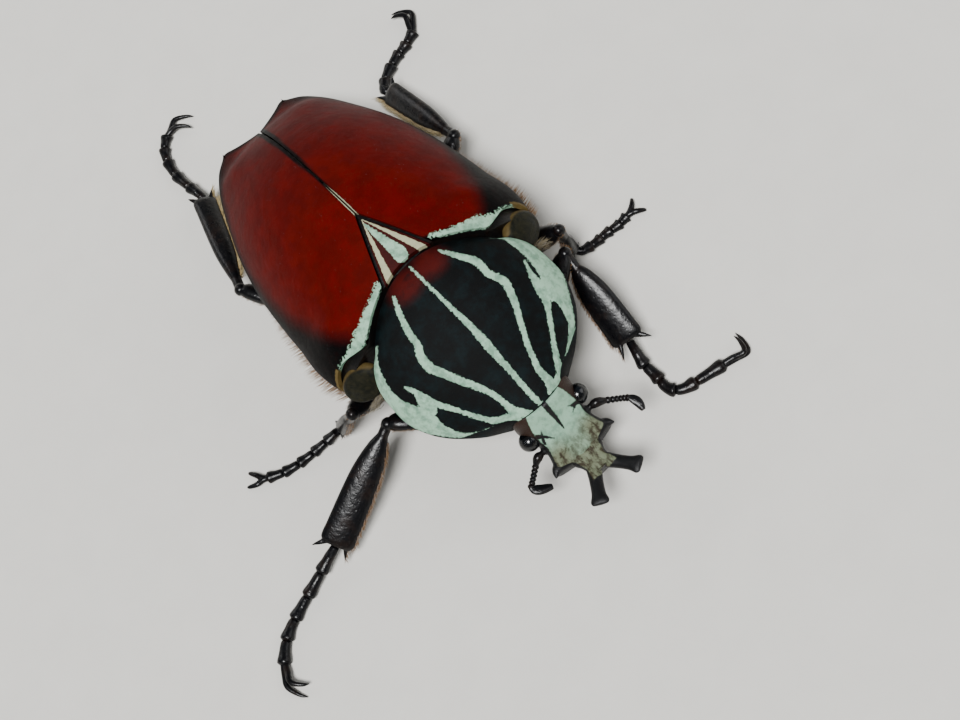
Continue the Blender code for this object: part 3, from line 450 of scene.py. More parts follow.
# legs: centre of the coxa, root, bend and end of the femur, end of the tibia, the way its outer side faces,
# course of the toes, the two claws as bulge and tip, half widths of tibia and toes, number of spurs
LEGS = {
    "front_right": {
        "coxa": (-4.9, -16.8, 6.4), "hip": (-8.1, -15.6, 6.6), "thigh": (-13.8, -12.5, 9.9),
        "knee": (-19.6, -9.4, 12.2), "ankle": (-39.8, -15.0, 4.2), "edge": (-0.40, 0.83, 0.39),
        "toes": ((-41.0, -14.8, 3.2), (-44.1, -15.4, 2.2), (-47.7, -16.3, 1.5), (-51.3, -17.3, 1.1),
                 (-54.4, -18.4, 1.0), (-57.0, -20.0, 1.0), (-59.4, -22.4, 1.0)),
        "claws": (((-61.3, -25.6, 0.8), (-59.9, -29.2, 0.3)), ((-60.3, -25.6, 1.5), (-58.2, -28.0, 1.1))),
        "shank": 2.95, "toe": 1.25, "spurs": 1},
    "front_left": {
        "coxa": (4.9, -16.8, 6.4), "hip": (8.1, -15.6, 6.6), "thigh": (14.5, -12.4, 9.8),
        "knee": (20.9, -9.4, 11.8), "ankle": (18.5, -25.4, 4.2), "edge": (0.9, -0.1, 0.42),
        "toes": ((18.2, -26.7, 3.2), (17.6, -29.2, 2.2), (17.6, -32.0, 1.5), (17.5, -34.8, 1.1),
                 (19.0, -36.7, 1.0), (22.3, -37.7, 1.0), (26.8, -38.7, 1.0)),
        "claws": (((30.9, -40.0, 0.8), (31.9, -36.0, 0.3)), ((30.3, -39.9, 1.7), (31.2, -36.6, 1.3))),
        "shank": 2.95, "toe": 1.25, "spurs": 1},
    "middle_right": {
        "coxa": (-5.0, 1.0, 5.4), "hip": (-8.4, 0.6, 5.0), "thigh": (-16.5, -1.0, 7.2),
        "knee": (-22.6, -4.2, 13.4), "ankle": (-25.6, 0.2, 3.2), "edge": (0.1, 1.0, 0.3),
        "toes": ((-26.5, 1.1, 2.1), (-30.0, 1.6, 1.3), (-33.7, 2.1, 0.9), (-37.5, 3.0, 0.8),
                 (-40.8, 4.6, 0.8)),
        "claws": (((-42.8, 5.0, 0.8), (-44.4, 6.2, 0.3)), ((-41.8, 6.2, 0.8), (-42.6, 8.0, 0.3))),
        "shank": 1.45, "toe": 1.1, "spurs": 2},
    "middle_left": {
        "coxa": (5.0, 1.0, 5.4), "hip": (8.4, 0.6, 5.0), "thigh": (16.5, -1.0, 7.2),
        "knee": (22.8, -6.4, 13.4), "ankle": (23.6, -6.0, 3.2), "edge": (0.9, 0.3, 0.2),
        "toes": ((24.5, -6.6, 2.1), (27.2, -6.9, 1.3), (29.9, -6.9, 0.9), (32.5, -7.3, 0.8),
                 (34.6, -7.2, 0.8)),
        "claws": (((36.4, -6.6, 0.9), (37.3, -5.2, 0.3)), ((36.4, -8.0, 0.9), (37.6, -8.9, 0.3))),
        "shank": 1.45, "toe": 1.1, "spurs": 2},
    "hind_right": {
        "coxa": (-5.3, 14.6, 5.2), "hip": (-9.0, 16.4, 4.4), "thigh": (-16.4, 23.4, 5.6),
        "knee": (-21.6, 31.0, 8.0), "ankle": (-15.0, 53.0, 3.6), "edge": (-0.9, -0.2, 0.45),
        "toes": ((-14.9, 55.2, 2.4), (-15.3, 58.6, 1.8), (-15.5, 63.0, 1.2), (-14.8, 66.6, 1.0),
                 (-13.5, 69.1, 1.0), (-11.5, 70.9, 1.0)),
        "claws": (((-8.4, 72.3, 0.8), (-5.4, 70.3, 0.3)), ((-9.0, 70.4, 1.4), (-7.2, 68.2, 1.0))),
        "shank": 2.2, "toe": 1.15, "spurs": 2},
    "hind_left": {
        "coxa": (5.3, 14.6, 5.2), "hip": (9.0, 16.4, 4.4), "thigh": (16.8, 20.2, 5.8),
        "knee": (23.6, 23.0, 9.0), "ankle": (22.4, 42.2, 3.6), "edge": (0.9, 0.1, 0.45),
        "toes": ((22.1, 44.0, 2.4), (24.6, 46.4, 1.6), (28.4, 48.2, 1.1), (31.2, 48.8, 1.0),
                 (34.2, 49.8, 1.0)),
        "claws": (((36.6, 53.2, 0.8), (34.0, 56.2, 0.3)), ((35.2, 53.2, 1.6), (33.2, 55.0, 1.2))),
        "shank": 2.2, "toe": 1.25, "spurs": 2},
}

# markings, as (column, row, width) of the photograph's pixels along each stripe
PRONOTUM_STRIPES = (
    ((410, 267, 2.4), (440, 297, 4), (469, 324.6, 6.5), (484, 341, 9), (496, 355, 8), (512, 372.5, 6),
     (524, 387, 5.5), (536, 399.5, 6), (546, 408, 4)),
    ((393.6, 297.8, 4), (401, 317, 6), (409, 333, 7), (417, 344, 7.5), (421, 356, 9), (430, 368, 10),
     (445.7, 374.5, 8.5), (460, 380.6, 8), (475, 386, 7), (492, 393.6, 6), (504, 402.6, 6), (515, 412, 10),
     (531, 414, 8)),
    ((440, 250.6, 3), (458, 256, 6), (477, 262, 8), (488, 273, 7.5), (505, 282, 8), (514, 300.5, 7.5),
     (521, 322.7, 6), (527.6, 344.7, 5.5), (534, 359, 6), (540, 371.6, 7), (549, 381, 9), (551, 393, 6)),
    ((491.6, 235.8, 5), (504, 235, 9), (520, 243, 13), (538, 257, 18), (552, 276, 21), (560, 292, 17),
     (567, 308, 11), (571.5, 322, 7), (571, 341, 6), (567, 363, 8), (561, 377, 11), (554, 389, 8)),
    ((542, 284, 9), (549, 290, 15), (555, 297, 9)),
    ((525, 261, 2.5), (529, 270, 4), (535, 280, 8), (541, 290, 10), (546, 300, 8), (549, 314, 5.5),
     (552.6, 336, 5), (556, 356, 6), (560, 370, 8)),
    ((377, 347, 2), (374, 358, 7), (377, 374, 9), (385, 391, 11), (397, 406, 15), (413, 416, 20),
     (428, 423, 20), (443, 431, 11), (463, 435.5, 5.5), (482, 434, 6), (502, 427, 9), (516, 420, 12)),
    ((417, 396, 5), (424, 403, 11), (429, 410, 16)),
    ((404, 387.5, 1.5), (411, 390, 5), (419, 394, 6), (427, 400, 8), (438, 404.5, 6.5), (458, 410.5, 4.5),
     (476, 416.5, 5), (492, 420.5, 6), (509, 418, 9)),
)
BANDS = {
    "left": ((430, 235, 3.5), (441, 233.5, 5), (450, 231.5, 6.5), (460, 228.5, 9), (470, 225.5, 12),
             (478, 222.5, 14), (486, 222, 13), (494, 219.5, 13), (504, 213.5, 11), (511, 208.5, 7)),
    "right": ((378, 284, 4), (376, 293, 7), (373, 303, 9.5), (369, 314, 11), (365, 324, 12), (361, 335, 12.5),
              (357, 346, 12.5), (352, 355, 11), (346.5, 363, 9), (342, 368, 6)),
}
SCUTELLUM_WEDGE = ((365, 225, 2.5), (375, 233, 6), (387, 243, 10), (396, 250, 14), (401, 255, 15))
HEAD_DARKS = (
    ((541, 400, 6), (549, 410, 6), (556, 418, 4.4), (564, 428, 1.4)),
    ((537, 437, 5), (545, 437, 3.5), (554, 438, 1)),
    ((541, 431, 1), (543, 439, 3.5), (545, 444, 3)),
    ((577, 402, 5), (573, 405, 3.5), (568, 406, 0.8)),
    ((573, 412, 0.6), (575, 405, 3), (579, 402, 4)),
)


def blend(stations, place):
    """Smooth value at place through (place, value) stations."""
    last = len(stations) - 1
    if place <= stations[0][0]:
        return stations[0][1]
    if place >= stations[last][0]:
        return stations[last][1]
    step = 0
    while stations[step + 1][0] < place:
        step += 1
    before = stations[max(step - 1, 0)]
    left = stations[step]
    right = stations[step + 1]
    after = stations[min(step + 2, last)]
    span = right[0] - left[0]
    part = (place - left[0]) / span
    slope_left = (right[1] - before[1]) / (right[0] - before[0]) * span
    slope_right = (after[1] - left[1]) / (after[0] - left[0]) * span
    square = part * part
    cube = square * part
    return ((2 * cube - 3 * square + 1) * left[1] + (cube - 2 * square + part) * slope_left
            + (3 * square - 2 * cube) * right[1] + (cube - square) * slope_right)


def blend_all(stations, places):
    return np.array([blend(stations, place) for place in places])


def lerp(start, end, part):
    return start + (end - start) * part


def smooth(start, end, value):
    """0 below start, 1 above end and an eased step between them; works on arrays."""
    part = np.clip((np.asarray(value, dtype=float) - start) / (end - start), 0, 1)
    return part * part * (3 - 2 * part)


def course(points, steps):
    """Evenly spaced positions along a smooth run through the given points."""
    size = len(points[0])
    tracks = [[(index, point[axis]) for index, point in enumerate(points)] for axis in range(size)]
    places = [step / steps * (len(points) - 1) for step in range(steps + 1)]
    return [np.array([blend(track, place) for track in tracks]) for place in places]


def swell(steps, stations, scale=1):
    """(half width, half depth) at each step through (place, half width, half depth) stations."""
    wide = [(place, width * scale) for place, width, depth in stations]
    deep = [(place, depth * scale) for place, width, depth in stations]
    return [(blend(wide, step / steps), blend(deep, step / steps)) for step in range(steps + 1)]


def unit(vector):
    return vector / np.linalg.norm(vector)


def raised(points):
    """Points of the body as they stand once the legs raise it."""
    return np.array(points) + RAISE


def handed(points, hand):
    """Points of the left side as they stand on the side of hand: 1 for left, -1 for right."""
    return raised(points) * (hand, 1, 1)


def wave(place, start, length, power=1):
    """Height of a half wave at place from 0 to 1, where only the given part of the wave is used."""
    return math.sin(math.pi * min(start + length * place, 1)) ** power


def round_angles(sides, offset=0.0):
    return 2 * math.pi * (np.arange(sides) + offset) / sides


def signed_power(values, power):
    return np.copysign(np.abs(values) ** power, values)


def tube(path, sizes, up, sides, floor=-math.inf):
    """A closed tube of (half width, half depth) sections; up turns the depth, floor is the lowest height."""
    rings = []
    last = len(path) - 1
    angles = round_angles(sides, 0.5)
    for index, point in enumerate(path):
        ahead = unit(path[min(index + 1, last)] - path[max(index - 1, 0)])
        wide = unit(np.cross(ahead, up))
        tall = np.cross(wide, ahead)
        half_width, half_depth = sizes[index]
        ring = (point + np.outer(np.sin(angles) * half_width, wide)
                + np.outer(np.cos(angles) * half_depth, tall))
        ring[:, 2] = np.maximum(ring[:, 2], floor)
        rings.append(ring)
    return loft(rings)


def loft(rings):
    """Positions and faces of a tube through equal rings, closed by a fan at each end."""
    count = len(rings[0])
    rows = len(rings)
    verts = np.vstack([*rings, rings[0].mean(axis=0), rings[-1].mean(axis=0)])
    faces = []
    for row in range(rows - 1):
        near = row * count
        far = near + count
        for side in range(count):
            turn = (side + 1) % count
            faces.append((near + side, near + turn, far + turn, far + side))
    first_hub = rows * count
    end = (rows - 1) * count
    for side in range(count):
        turn = (side + 1) % count
        faces.append((turn, side, first_hub))
        faces.append((end + side, end + turn, first_hub + 1))
    return verts, faces


def plate_faces(rows, columns):
    """Faces of a closed plate between two equal grids of positions, listed one after the other."""
    wide = columns + 1
    layer = wide * (rows + 1)
    faces = []
    for row in range(rows):
        for column in range(columns):
            corner = row * wide + column
            patch = (corner, corner + 1, corner + wide + 1, corner + wide)
            faces.append(patch)
            faces.append(tuple(index + layer for index in reversed(patch)))
    rim = list(range(wide))
    rim += [row * wide + columns for row in range(1, rows + 1)]
    rim += [rows * wide + column for column in range(columns - 1, -1, -1)]
    rim += [row * wide for row in range(rows - 1, 0, -1)]
    for start, end in zip(rim, rim[1:] + rim[:1]):
        faces.append((start, start + layer, end + layer, end))
    return faces


def together(parts):
    """One pair of positions and faces from several."""
    verts = []
    faces = []
    count = 0
    for part_verts, part_faces in parts:
        verts.append(np.asarray(part_verts))
        faces += [tuple(index + count for index in face) for face in part_faces]
        count += len(part_verts)
    return np.vstack(verts), faces


def pose(turn, tilt, lean):
    """A lean about X, then a tilt about Y, then a turn about Z."""
    return Matrix.Rotation(turn, 3, "Z") @ Matrix.Rotation(tilt, 3, "Y") @ Matrix.Rotation(lean, 3, "X")


def ball(centre, radii, turn=0.0, tilt=0.0, lean=0.0, rows=BALL_ROWS, sides=BALL_SIDES):
    shape = np.array(pose(turn, tilt, lean) @ Matrix.Diagonal(radii))
    angles = round_angles(sides)
    rings = []
    for row in range(1, rows):
        level = math.pi * row / rows
        ring = np.column_stack((np.cos(angles) * math.sin(level), np.sin(angles) * math.sin(level),
                                np.full(sides, -math.cos(level))))
        rings.append(ring @ shape.T + centre)
    verts, faces = loft(rings)
    verts[-2] = -UP @ shape.T + centre
    verts[-1] = UP @ shape.T + centre
    return verts, faces


def section(y, half, top, bottom, sides):
    """A rounded section of the body across its length."""
    angles = round_angles(sides)
    wide = half * signed_power(np.sin(angles), SECTION_SQUARE)
    tall = (top + bottom) / 2 + (top - bottom) / 2 * np.cos(angles)
    return raised(np.column_stack((wide, np.full(sides, y), tall)))


def mirrored_ring(half):
    """A full ring from its left half, listed from the top middle to the bottom middle."""
    return np.vstack((half, half[-2:0:-1] * (-1, 1, 1)))


def new_mesh(name, verts, faces):
    """A mesh in the row's frame from millimetre positions, with its normals turned outward."""
    mesh = bpy.data.meshes.new(name)
    mesh.from_pydata(((np.asarray(verts) + SHIFT) * MM).tolist(), [], faces)
    build = bmesh.new()
    build.from_mesh(mesh)
    bmesh.ops.recalc_face_normals(build, faces=build.faces)
    if build.calc_volume(signed=True) < 0:
        bmesh.ops.reverse_faces(build, faces=build.faces)
    build.to_mesh(mesh)
    build.free()
    return mesh


def positions(mesh):
    """The mesh's vertices in the beetle's own millimetres."""
    flat = np.empty(len(mesh.vertices) * 3)
    mesh.vertices.foreach_get("co", flat)
    return flat.reshape(-1, 3) / MM - SHIFT


def normals(mesh):
    flat = np.empty(len(mesh.vertices) * 3)
    mesh.vertex_normals.foreach_get("vector", flat)
    return flat.reshape(-1, 3)


def melt(name, parts, grain, passes):
    """One smooth skin round overlapping closed parts, from cells of grain mm and smoothed passes times."""
    mesh = new_mesh(name, *together(parts))
    source = bpy.data.objects.new(name, mesh)
    bpy.context.scene.collection.objects.link(source)
    remesh = source.modifiers.new("skin", "REMESH")
    remesh.mode = "VOXEL"
    remesh.voxel_size = grain * MM
    soften = source.modifiers.new("soften", "SMOOTH")
    soften.factor = MELT_SOFTEN
    soften.iterations = passes
    depsgraph = bpy.context.evaluated_depsgraph_get()
    depsgraph.update()
    melted = bpy.data.meshes.new_from_object(source.evaluated_get(depsgraph))
    bpy.data.objects.remove(source, do_unlink=True)
    bpy.data.meshes.remove(mesh)
    melted.name = name
    return melted


def press(mesh, amounts):
    """Move each vertex along its normal by its amount in millimetres."""
    moved = positions(mesh) + normals(mesh) * np.asarray(amounts)[:, None]
    mesh.vertices.foreach_set("co", ((moved + SHIFT) * MM).ravel())
    mesh.update()


def show(name, mesh, look, node, marks=(), crease=180):
    """Place a finished piece that stands for one of the solids, with its markings as attributes."""
    mesh.polygons.foreach_set("use_smooth", [True] * len(mesh.polygons))
    if crease < 180:
        mesh.set_sharp_from_angle(angle=math.radians(crease))
    for label, values in marks:
        layer = mesh.attributes.new(label, "FLOAT", "POINT")
        layer.data.foreach_set("value", np.asarray(values, dtype=float))
    mesh.materials.clear()
    mesh.materials.append(look)
    made = bpy.data.objects.new(name, mesh)
    bpy.context.scene.collection.objects.link(made)
    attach(made, "root")
    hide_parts(node)


# the photograph's camera and its pixels

def camera_turn():
    """Columns: the camera's right, up and backward directions."""
    back = np.array((math.sin(VIEW_AZIMUTH) * math.cos(VIEW_ELEVATION),
                     -math.cos(VIEW_AZIMUTH) * math.cos(VIEW_ELEVATION), math.sin(VIEW_ELEVATION)))
    right = np.array((math.cos(VIEW_AZIMUTH), math.sin(VIEW_AZIMUTH), 0.0))
    up = np.cross(back, right)
    cosine = math.cos(VIEW_ROLL)
    sine = math.sin(VIEW_ROLL)
    return np.column_stack((cosine * right + sine * up, -sine * right + cosine * up, back))


CAMERA_TURN = camera_turn()
CAMERA_PLACE = (VIEW_CENTRE + CAMERA_TURN[:, 2] * VIEW_DISTANCE + CAMERA_TURN[:, 0] * VIEW_AIM[0]
                + CAMERA_TURN[:, 1] * VIEW_AIM[1])


def pixels(points):
    """Where millimetre positions lie in the photograph, in pixels from its top left corner."""
    seen = (np.asarray(points) - CAMERA_PLACE) @ CAMERA_TURN
    return np.column_stack((PHOTO_SIZE[0] / 2 - FOCAL_PIXELS * seen[:, 0] / seen[:, 2],
                            PHOTO_SIZE[1] / 2 + FOCAL_PIXELS * seen[:, 1] / seen[:, 2]))


def stripe_depth(points, stripes):
    """How deep each position lies inside the photograph's stripes, in millimetres; negative outside."""
    spots = pixels(points)
    best = np.full(len(spots), UNMARKED * PIXELS_PER_MM)
    for stripe in stripes:
        run = course(stripe, (len(stripe) - 1) * STRIPE_STEPS)
        for start, end in zip(run, run[1:]):
            along = end[:2] - start[:2]
            share = np.clip((spots - start[:2]) @ along / (along @ along), 0, 1)
            apart = np.linalg.norm(spots - start[:2] - np.outer(share, along), axis=1)
            best = np.maximum(best, lerp(start[2], end[2], share) / 2 - apart)
    return best / PIXELS_PER_MM


# looks; sizes of noise and depths of relief are in millimetres

class Look:
    """A Principled material with short ways to add procedural nodes."""

    def __init__(self, name, **constants):
        self.material = bpy.data.materials.new(name)
        self.material.use_nodes = True
        self.tree = self.material.node_tree
        self.shader = self.tree.nodes["Principled BSDF"]
        for label, value in constants.items():
            self.shader.inputs[label.replace("_", " ")].default_value = value
        self.place = self.add("ShaderNodeTexCoord").outputs["Object"]

    def add(self, kind, inputs=(), **settings):
        node = self.tree.nodes.new(kind)
        for label, value in settings.items():
            setattr(node, label, value)
        for socket, value in inputs:
            self.feed(node.inputs[socket], value)
        return node

    def feed(self, socket, value):
        if isinstance(value, bpy.types.NodeSocket):
            self.tree.links.new(value, socket)
        else:
            socket.default_value = value

    def noise(self, size, detail=4.0, rough=0.55, stretch=(1, 1, 1)):
        """Noise with features about size mm across, from 0 to 1."""
        place = self.add("ShaderNodeVectorMath", ((0, self.place), (1, stretch)), operation="MULTIPLY")
        inputs = (("Vector", place.outputs[0]), ("Scale", 1 / (size * MM)), ("Detail", detail),
                  ("Roughness", rough))
        return self.add("ShaderNodeTexNoise", inputs).outputs["Fac"]

    def grain(self, size):
        """Fine, rough noise."""
        return self.noise(size, detail=3.0, rough=0.7)

    def cells(self, size):
        """Distance from the middles of cells about size mm across."""
        node = self.add("ShaderNodeTexVoronoi", (("Vector", self.place), ("Scale", 1 / (size * MM))))
        return node.outputs["Distance"]

    def mark(self, label):
        return self.add("ShaderNodeAttribute", attribute_name=label).outputs["Fac"]

    def calc(self, operation, first, second, third=0.0):
        node = self.add("ShaderNodeMath", ((0, first), (1, second), (2, third)), operation=operation)
        return node.outputs[0]

    def scaled(self, value, factor, offset):
        return self.calc("MULTIPLY_ADD", value, factor, offset)

    def both(self, first, second):
        return self.calc("MULTIPLY", first, second)

    def step(self, value, start, end, low=0.0, high=1.0):
        """An eased step of value from low at start to high at end."""
        inputs = (("Value", value), ("From Min", start), ("From Max", end), ("To Min", low), ("To Max", high))
        return self.add("ShaderNodeMapRange", inputs, interpolation_type="SMOOTHSTEP").outputs["Result"]

    def mix(self, share, first, second):
        inputs = ((0, share), (6, paint(first)), (7, paint(second)))
        return self.add("ShaderNodeMix", inputs, data_type="RGBA").outputs[2]

    def relief(self, height, depth, before=None):
        """A bump of up to depth mm on top of an earlier one."""
        inputs = [("Height", height), ("Distance", depth * MM), ("Strength", 1.0)]
        if before is not None:
            inputs.append(("Normal", before))
        return self.add("ShaderNodeBump", inputs).outputs["Normal"]

    def finish(self, colour, roughness, normal=None):
        self.feed(self.shader.inputs["Base Color"], paint(colour))
        self.feed(self.shader.inputs["Roughness"], roughness)
        if normal is not None:
            self.feed(self.shader.inputs["Normal"], normal)
        return self.material


def paint(colour):
    """A colour given as 0 to 255 display values, as the shader's linear value; sockets pass through."""
    if isinstance(colour, bpy.types.NodeSocket):
        return colour
    return (*((channel / 255) ** 2.2 for channel in colour), 1)


def chalk(look):
    """The powdery white of the markings, broken by fine grey specks."""
    cloud = look.step(look.noise(1.7, detail=6.0, rough=0.7), 0.36, 0.58)
    fleck = look.step(look.grain(0.16), 0.3, 0.5, 0.7, 1.0)
    return look.mix(look.both(cloud, fleck), CHALK_SHADE, CHALK)


def tan(look):
    return look.mix(look.noise(0.5, rough=0.7), TAN_SHADE, TAN)


def edged(look, label, ragged, soft=0.05):
    """A marking whose mark is its depth in mm, with a small-toothed edge."""
    tooth = look.scaled(look.step(look.grain(0.42), 0.3, 0.7), ragged * 2, -ragged)
    wander = look.scaled(look.noise(1.1, detail=2.0, rough=0.5), ragged * 1.6, -ragged * 0.8)
    return look.step(look.calc("ADD", look.mark(label), look.calc("ADD", tooth, wander)), -soft, soft)


def velvet_look():
    look = Look("pronotum velvet", Specular_IOR_Level=0.1)
    # the velvet black is mixed with its blue-green painted sheen in random patches
    ground = look.mix(look.step(look.noise(2.4, detail=6.0, rough=0.7), 0.42, 0.68), VELVET, PAINTED_VELVET_SHEEN)
    warm = look.both(look.mark("warm"), look.step(look.noise(1.6, detail=5.0, rough=0.6), 0.05, 0.55))
    ground = look.mix(warm, ground, MAROON)
    white = edged(look, "white", 0.13)
    colour = look.mix(white, ground, chalk(look))
    normal = look.relief(look.grain(0.12), 0.06)
    normal = look.relief(white, 0.05, normal)
    return look.finish(colour, look.scaled(white, 0.25, 0.62), normal)


def elytron_look():
    look = Look("elytron satin", Specular_IOR_Level=0.035)
    cloud = look.step(look.noise(3.5, detail=5.0, rough=0.6), 0.35, 0.7)
    shade = look.scaled(cloud, -0.45, look.calc("ADD", look.mark("deep"), 0.42))
    red = look.mix(shade, OXBLOOD, OXBLOOD_DEEP)
    # the dark mark holds the black borders and the painted shade along the front edge
    dark = look.calc("SUBTRACT", look.mark("dark"), 0.15)
    dark = look.scaled(look.noise(1.1, detail=5.0, rough=0.7), 0.3, dark)
    ground = look.mix(look.add("ShaderNodeClamp", ((0, dark),)).outputs[0], red, MARGIN_BLACK)
    # grey-purple painted sheen near the outer edge, in noisy patches
    ground = look.mix(look.both(look.mark("painted_sheen"), look.noise(2.6, rough=0.6)), ground, PAINTED_SHEEN)
    dust = look.both(look.step(look.cells(0.5), 0.085, 0.05),
                     look.step(look.noise(2.2, detail=3.0, rough=0.6), 0.52, 0.66))
    ground = look.mix(look.both(dust, 0.55), ground, DUST)
    ground = look.mix(edged(look, "lip", 0.1, 0.1), ground, tan(look))
    ground = look.mix(edged(look, "seam", 0.05, 0.04), ground, SEAM_PALE)
    white = edged(look, "white", 0.38)
    colour = look.mix(white, ground, chalk(look))
    rough = look.scaled(white, 0.35, look.scaled(look.noise(0.5, rough=0.7), 0.2, 0.4))
    normal = look.relief(look.grain(0.14), 0.05)
    normal = look.relief(look.noise(1.8, detail=2.0, rough=0.5), 0.10, normal)
    return look.finish(colour, rough, normal)


def scutellum_look():
    look = Look("scutellum", Specular_IOR_Level=0.12)
    ground = look.mix(look.noise(0.8), SHIELD, SHIELD_RED)
    cream = look.mix(look.noise(0.6, rough=0.7), CREAM_SHADE, CREAM)
    colour = look.mix(edged(look, "cream", 0.08), ground, cream)
    colour = look.mix(edged(look, "white", 0.12), colour, chalk(look))
    return look.finish(colour, 0.55, look.relief(look.grain(0.14), 0.05))


def head_look():
    look = Look("head", Specular_IOR_Level=0.25)
    stain = look.mark("stain")
    streak = look.step(look.noise(0.9, detail=6.0, rough=0.7, stretch=(1, 0.45, 1)), 0.4, 0.62)
    # the head's white is the chalk taken 0.4 of the way to its shade colour: painted shade, darker than the
    # other white markings
    ground = look.mix(look.both(stain, 0.84), look.mix(0.4, chalk(look), CHALK_SHADE), STAIN)
    ground = look.mix(look.both(stain, streak), ground, STAIN_DARK)
    black = edged(look, "black", 0.07, 0.1)
    colour = look.mix(black, ground, look.mix(look.mark("brown"), GLOSS, TEMPLE_BROWN))
    normal = look.relief(look.grain(0.16), 0.05)
    normal = look.relief(look.step(look.cells(0.42), 0.0, 0.2), 0.03, normal)
    return look.finish(colour, look.step(black, 0.0, 1.0, 0.72, 0.42), normal)


def chitin_look(name, colour, second, roughness, pit):
    """Glossy black shell with fine pits; pit is their spacing in mm."""
    look = Look(name, Specular_IOR_Level=0.2, Coat_Weight=0.05, Coat_Roughness=0.15)
    shade = look.mix(look.step(look.noise(2.6, rough=0.6), 0.45, 0.7), colour, second)
    rough = look.scaled(look.noise(0.7, rough=0.6), 0.2, roughness)
    normal = look.relief(look.step(look.cells(pit), 0.05, 0.4), 0.02)
    normal = look.relief(look.noise(0.9, detail=3.0, rough=0.5), 0.08, normal)
    return look.finish(shade, rough, normal)


def eye_look():
    look = Look("eye", Specular_IOR_Level=0.3, Coat_Weight=0.35, Coat_Roughness=0.08)
    shade = look.mix(look.step(look.noise(1.5, detail=2.0), 0.4, 0.7), EYE, EYE_BLUE)
    return look.finish(shade, 0.16, look.relief(look.step(look.cells(0.11), 0.0, 0.4), 0.012))


def epimeron_look():
    look = Look("epimeron", Specular_IOR_Level=0.1)
    rim = look.both(look.step(look.mark("rim"), 0.86, 0.97), 0.7)
    shade = look.mix(look.step(look.noise(0.9, rough=0.7), 0.35, 0.65), OLIVE_SHADE, OLIVE)
    return look.finish(look.mix(rim, shade, tan(look)), 0.5, look.relief(look.noise(0.2, rough=0.7), 0.08))


def hair_look(name, root, tip):
    look = Look(name, Sheen_Weight=0.3)
    shade = look.mix(look.mark("tip"), root, tip)
    shade = look.mix(look.step(look.noise(1.2, detail=3.0), 0.3, 0.7, 0.0, 0.35), shade, root)
    return look.finish(shade, 0.45)


def floor_look():
    look = Look("floor")
    shade = look.mix(look.noise(9.0, rough=0.6), PAPER_SHADE, PAPER)
    return look.finish(shade, 0.8, look.relief(look.noise(1.1, rough=0.6), 0.03))


VELVET_LOOK = velvet_look()
ELYTRON_LOOK = elytron_look()
SCUTELLUM_LOOK = scutellum_look()
HEAD_LOOK = head_look()
LIMB_LOOK = chitin_look("limb", GLOSS, GLOSS_BROWN, 0.2, 0.55)
BELLY_LOOK = chitin_look("underside", BELLY, BELLY_BROWN, 0.35, 0.45)
EYE_LOOK = eye_look()
EPIMERON_LOOK = epimeron_look()
GOLD_LOOK = hair_look("golden hair", *GOLD)
STRAW_LOOK = hair_look("cream hair", *STRAW)
DUN_LOOK = hair_look("dun hair", *DUN)


# body

def dome(across, powers):
    """Height from 1 in the middle to 0 at the side."""
    return max(1 - across ** powers[0], 0) ** powers[1]


def pronotum_base(x):
    """The y of the pronotum's hind edge at distance x from the middle."""
    return -BASE_ARCH * min(abs(x) / BASE_HALF, BASE_LIMIT) ** 2


def pronotum_ring(place):
    """Section of the pronotum and its underside at place, 0 front to 1 rear."""
    reach = blend(PRONOTUM_REACH, place)
    rim = blend(PRONOTUM_RIM, place)
    crest = blend(PRONOTUM_CREST, place)
    belly = blend(PRONOTUM_BELLY, place)
    half = []
    for column in range(PRONOTUM_COLUMNS + 1):
        across = math.sin(math.radians(90 * column / PRONOTUM_COLUMNS))
        x = reach * across
        y = lerp(lerp(PRONOTUM_FRONT, FRONT_CORNER, across ** 2), pronotum_base(x), place)
        half.append((x, y, rim + (crest - rim) * dome(across, PRONOTUM_DOME)))
    y = lerp(FRONT_CORNER, pronotum_base(reach), place)
    for column in range(1, BELLY_COLUMNS + 1):
        across = (1 - column / BELLY_COLUMNS) ** BELLY_EASE
        half.append((reach * across, y, belly + (rim - RIM_THICK - belly) * across ** BELLY_POWER))
    return mirrored_ring(raised(half))


def build_pronotum():
    rings = [pronotum_ring(row / PRONOTUM_ROWS) for row in range(PRONOTUM_ROWS + 1)]
    mesh = new_mesh("pronotum", *loft(rings))
    spots = positions(mesh)
    outward = normals(mesh)
    seen = (outward @ CAMERA_TURN[:, 2] > WHITE_FACING) & (outward[:, 1] > WHITE_FRONT)
    white = np.where(seen, stripe_depth(spots, PRONOTUM_STRIPES), -1.0)
    away = (np.abs(spots[:, 0]) - WARM_CENTRE[0], spots[:, 1] - WARM_CENTRE[1])
    warm = smooth(*WARM_FADE, np.hypot(away[0] * WARM_STRETCH[0], away[1] * WARM_STRETCH[1]))
    show("pronotum", mesh, VELVET_LOOK, "prothorax", (("white", white), ("warm", warm)), CREASE)


def hump(x, y, centre_x, centre_y, radius, height):
    return height * math.exp(-((x - centre_x) ** 2 + (y - centre_y) ** 2) / radius ** 2)


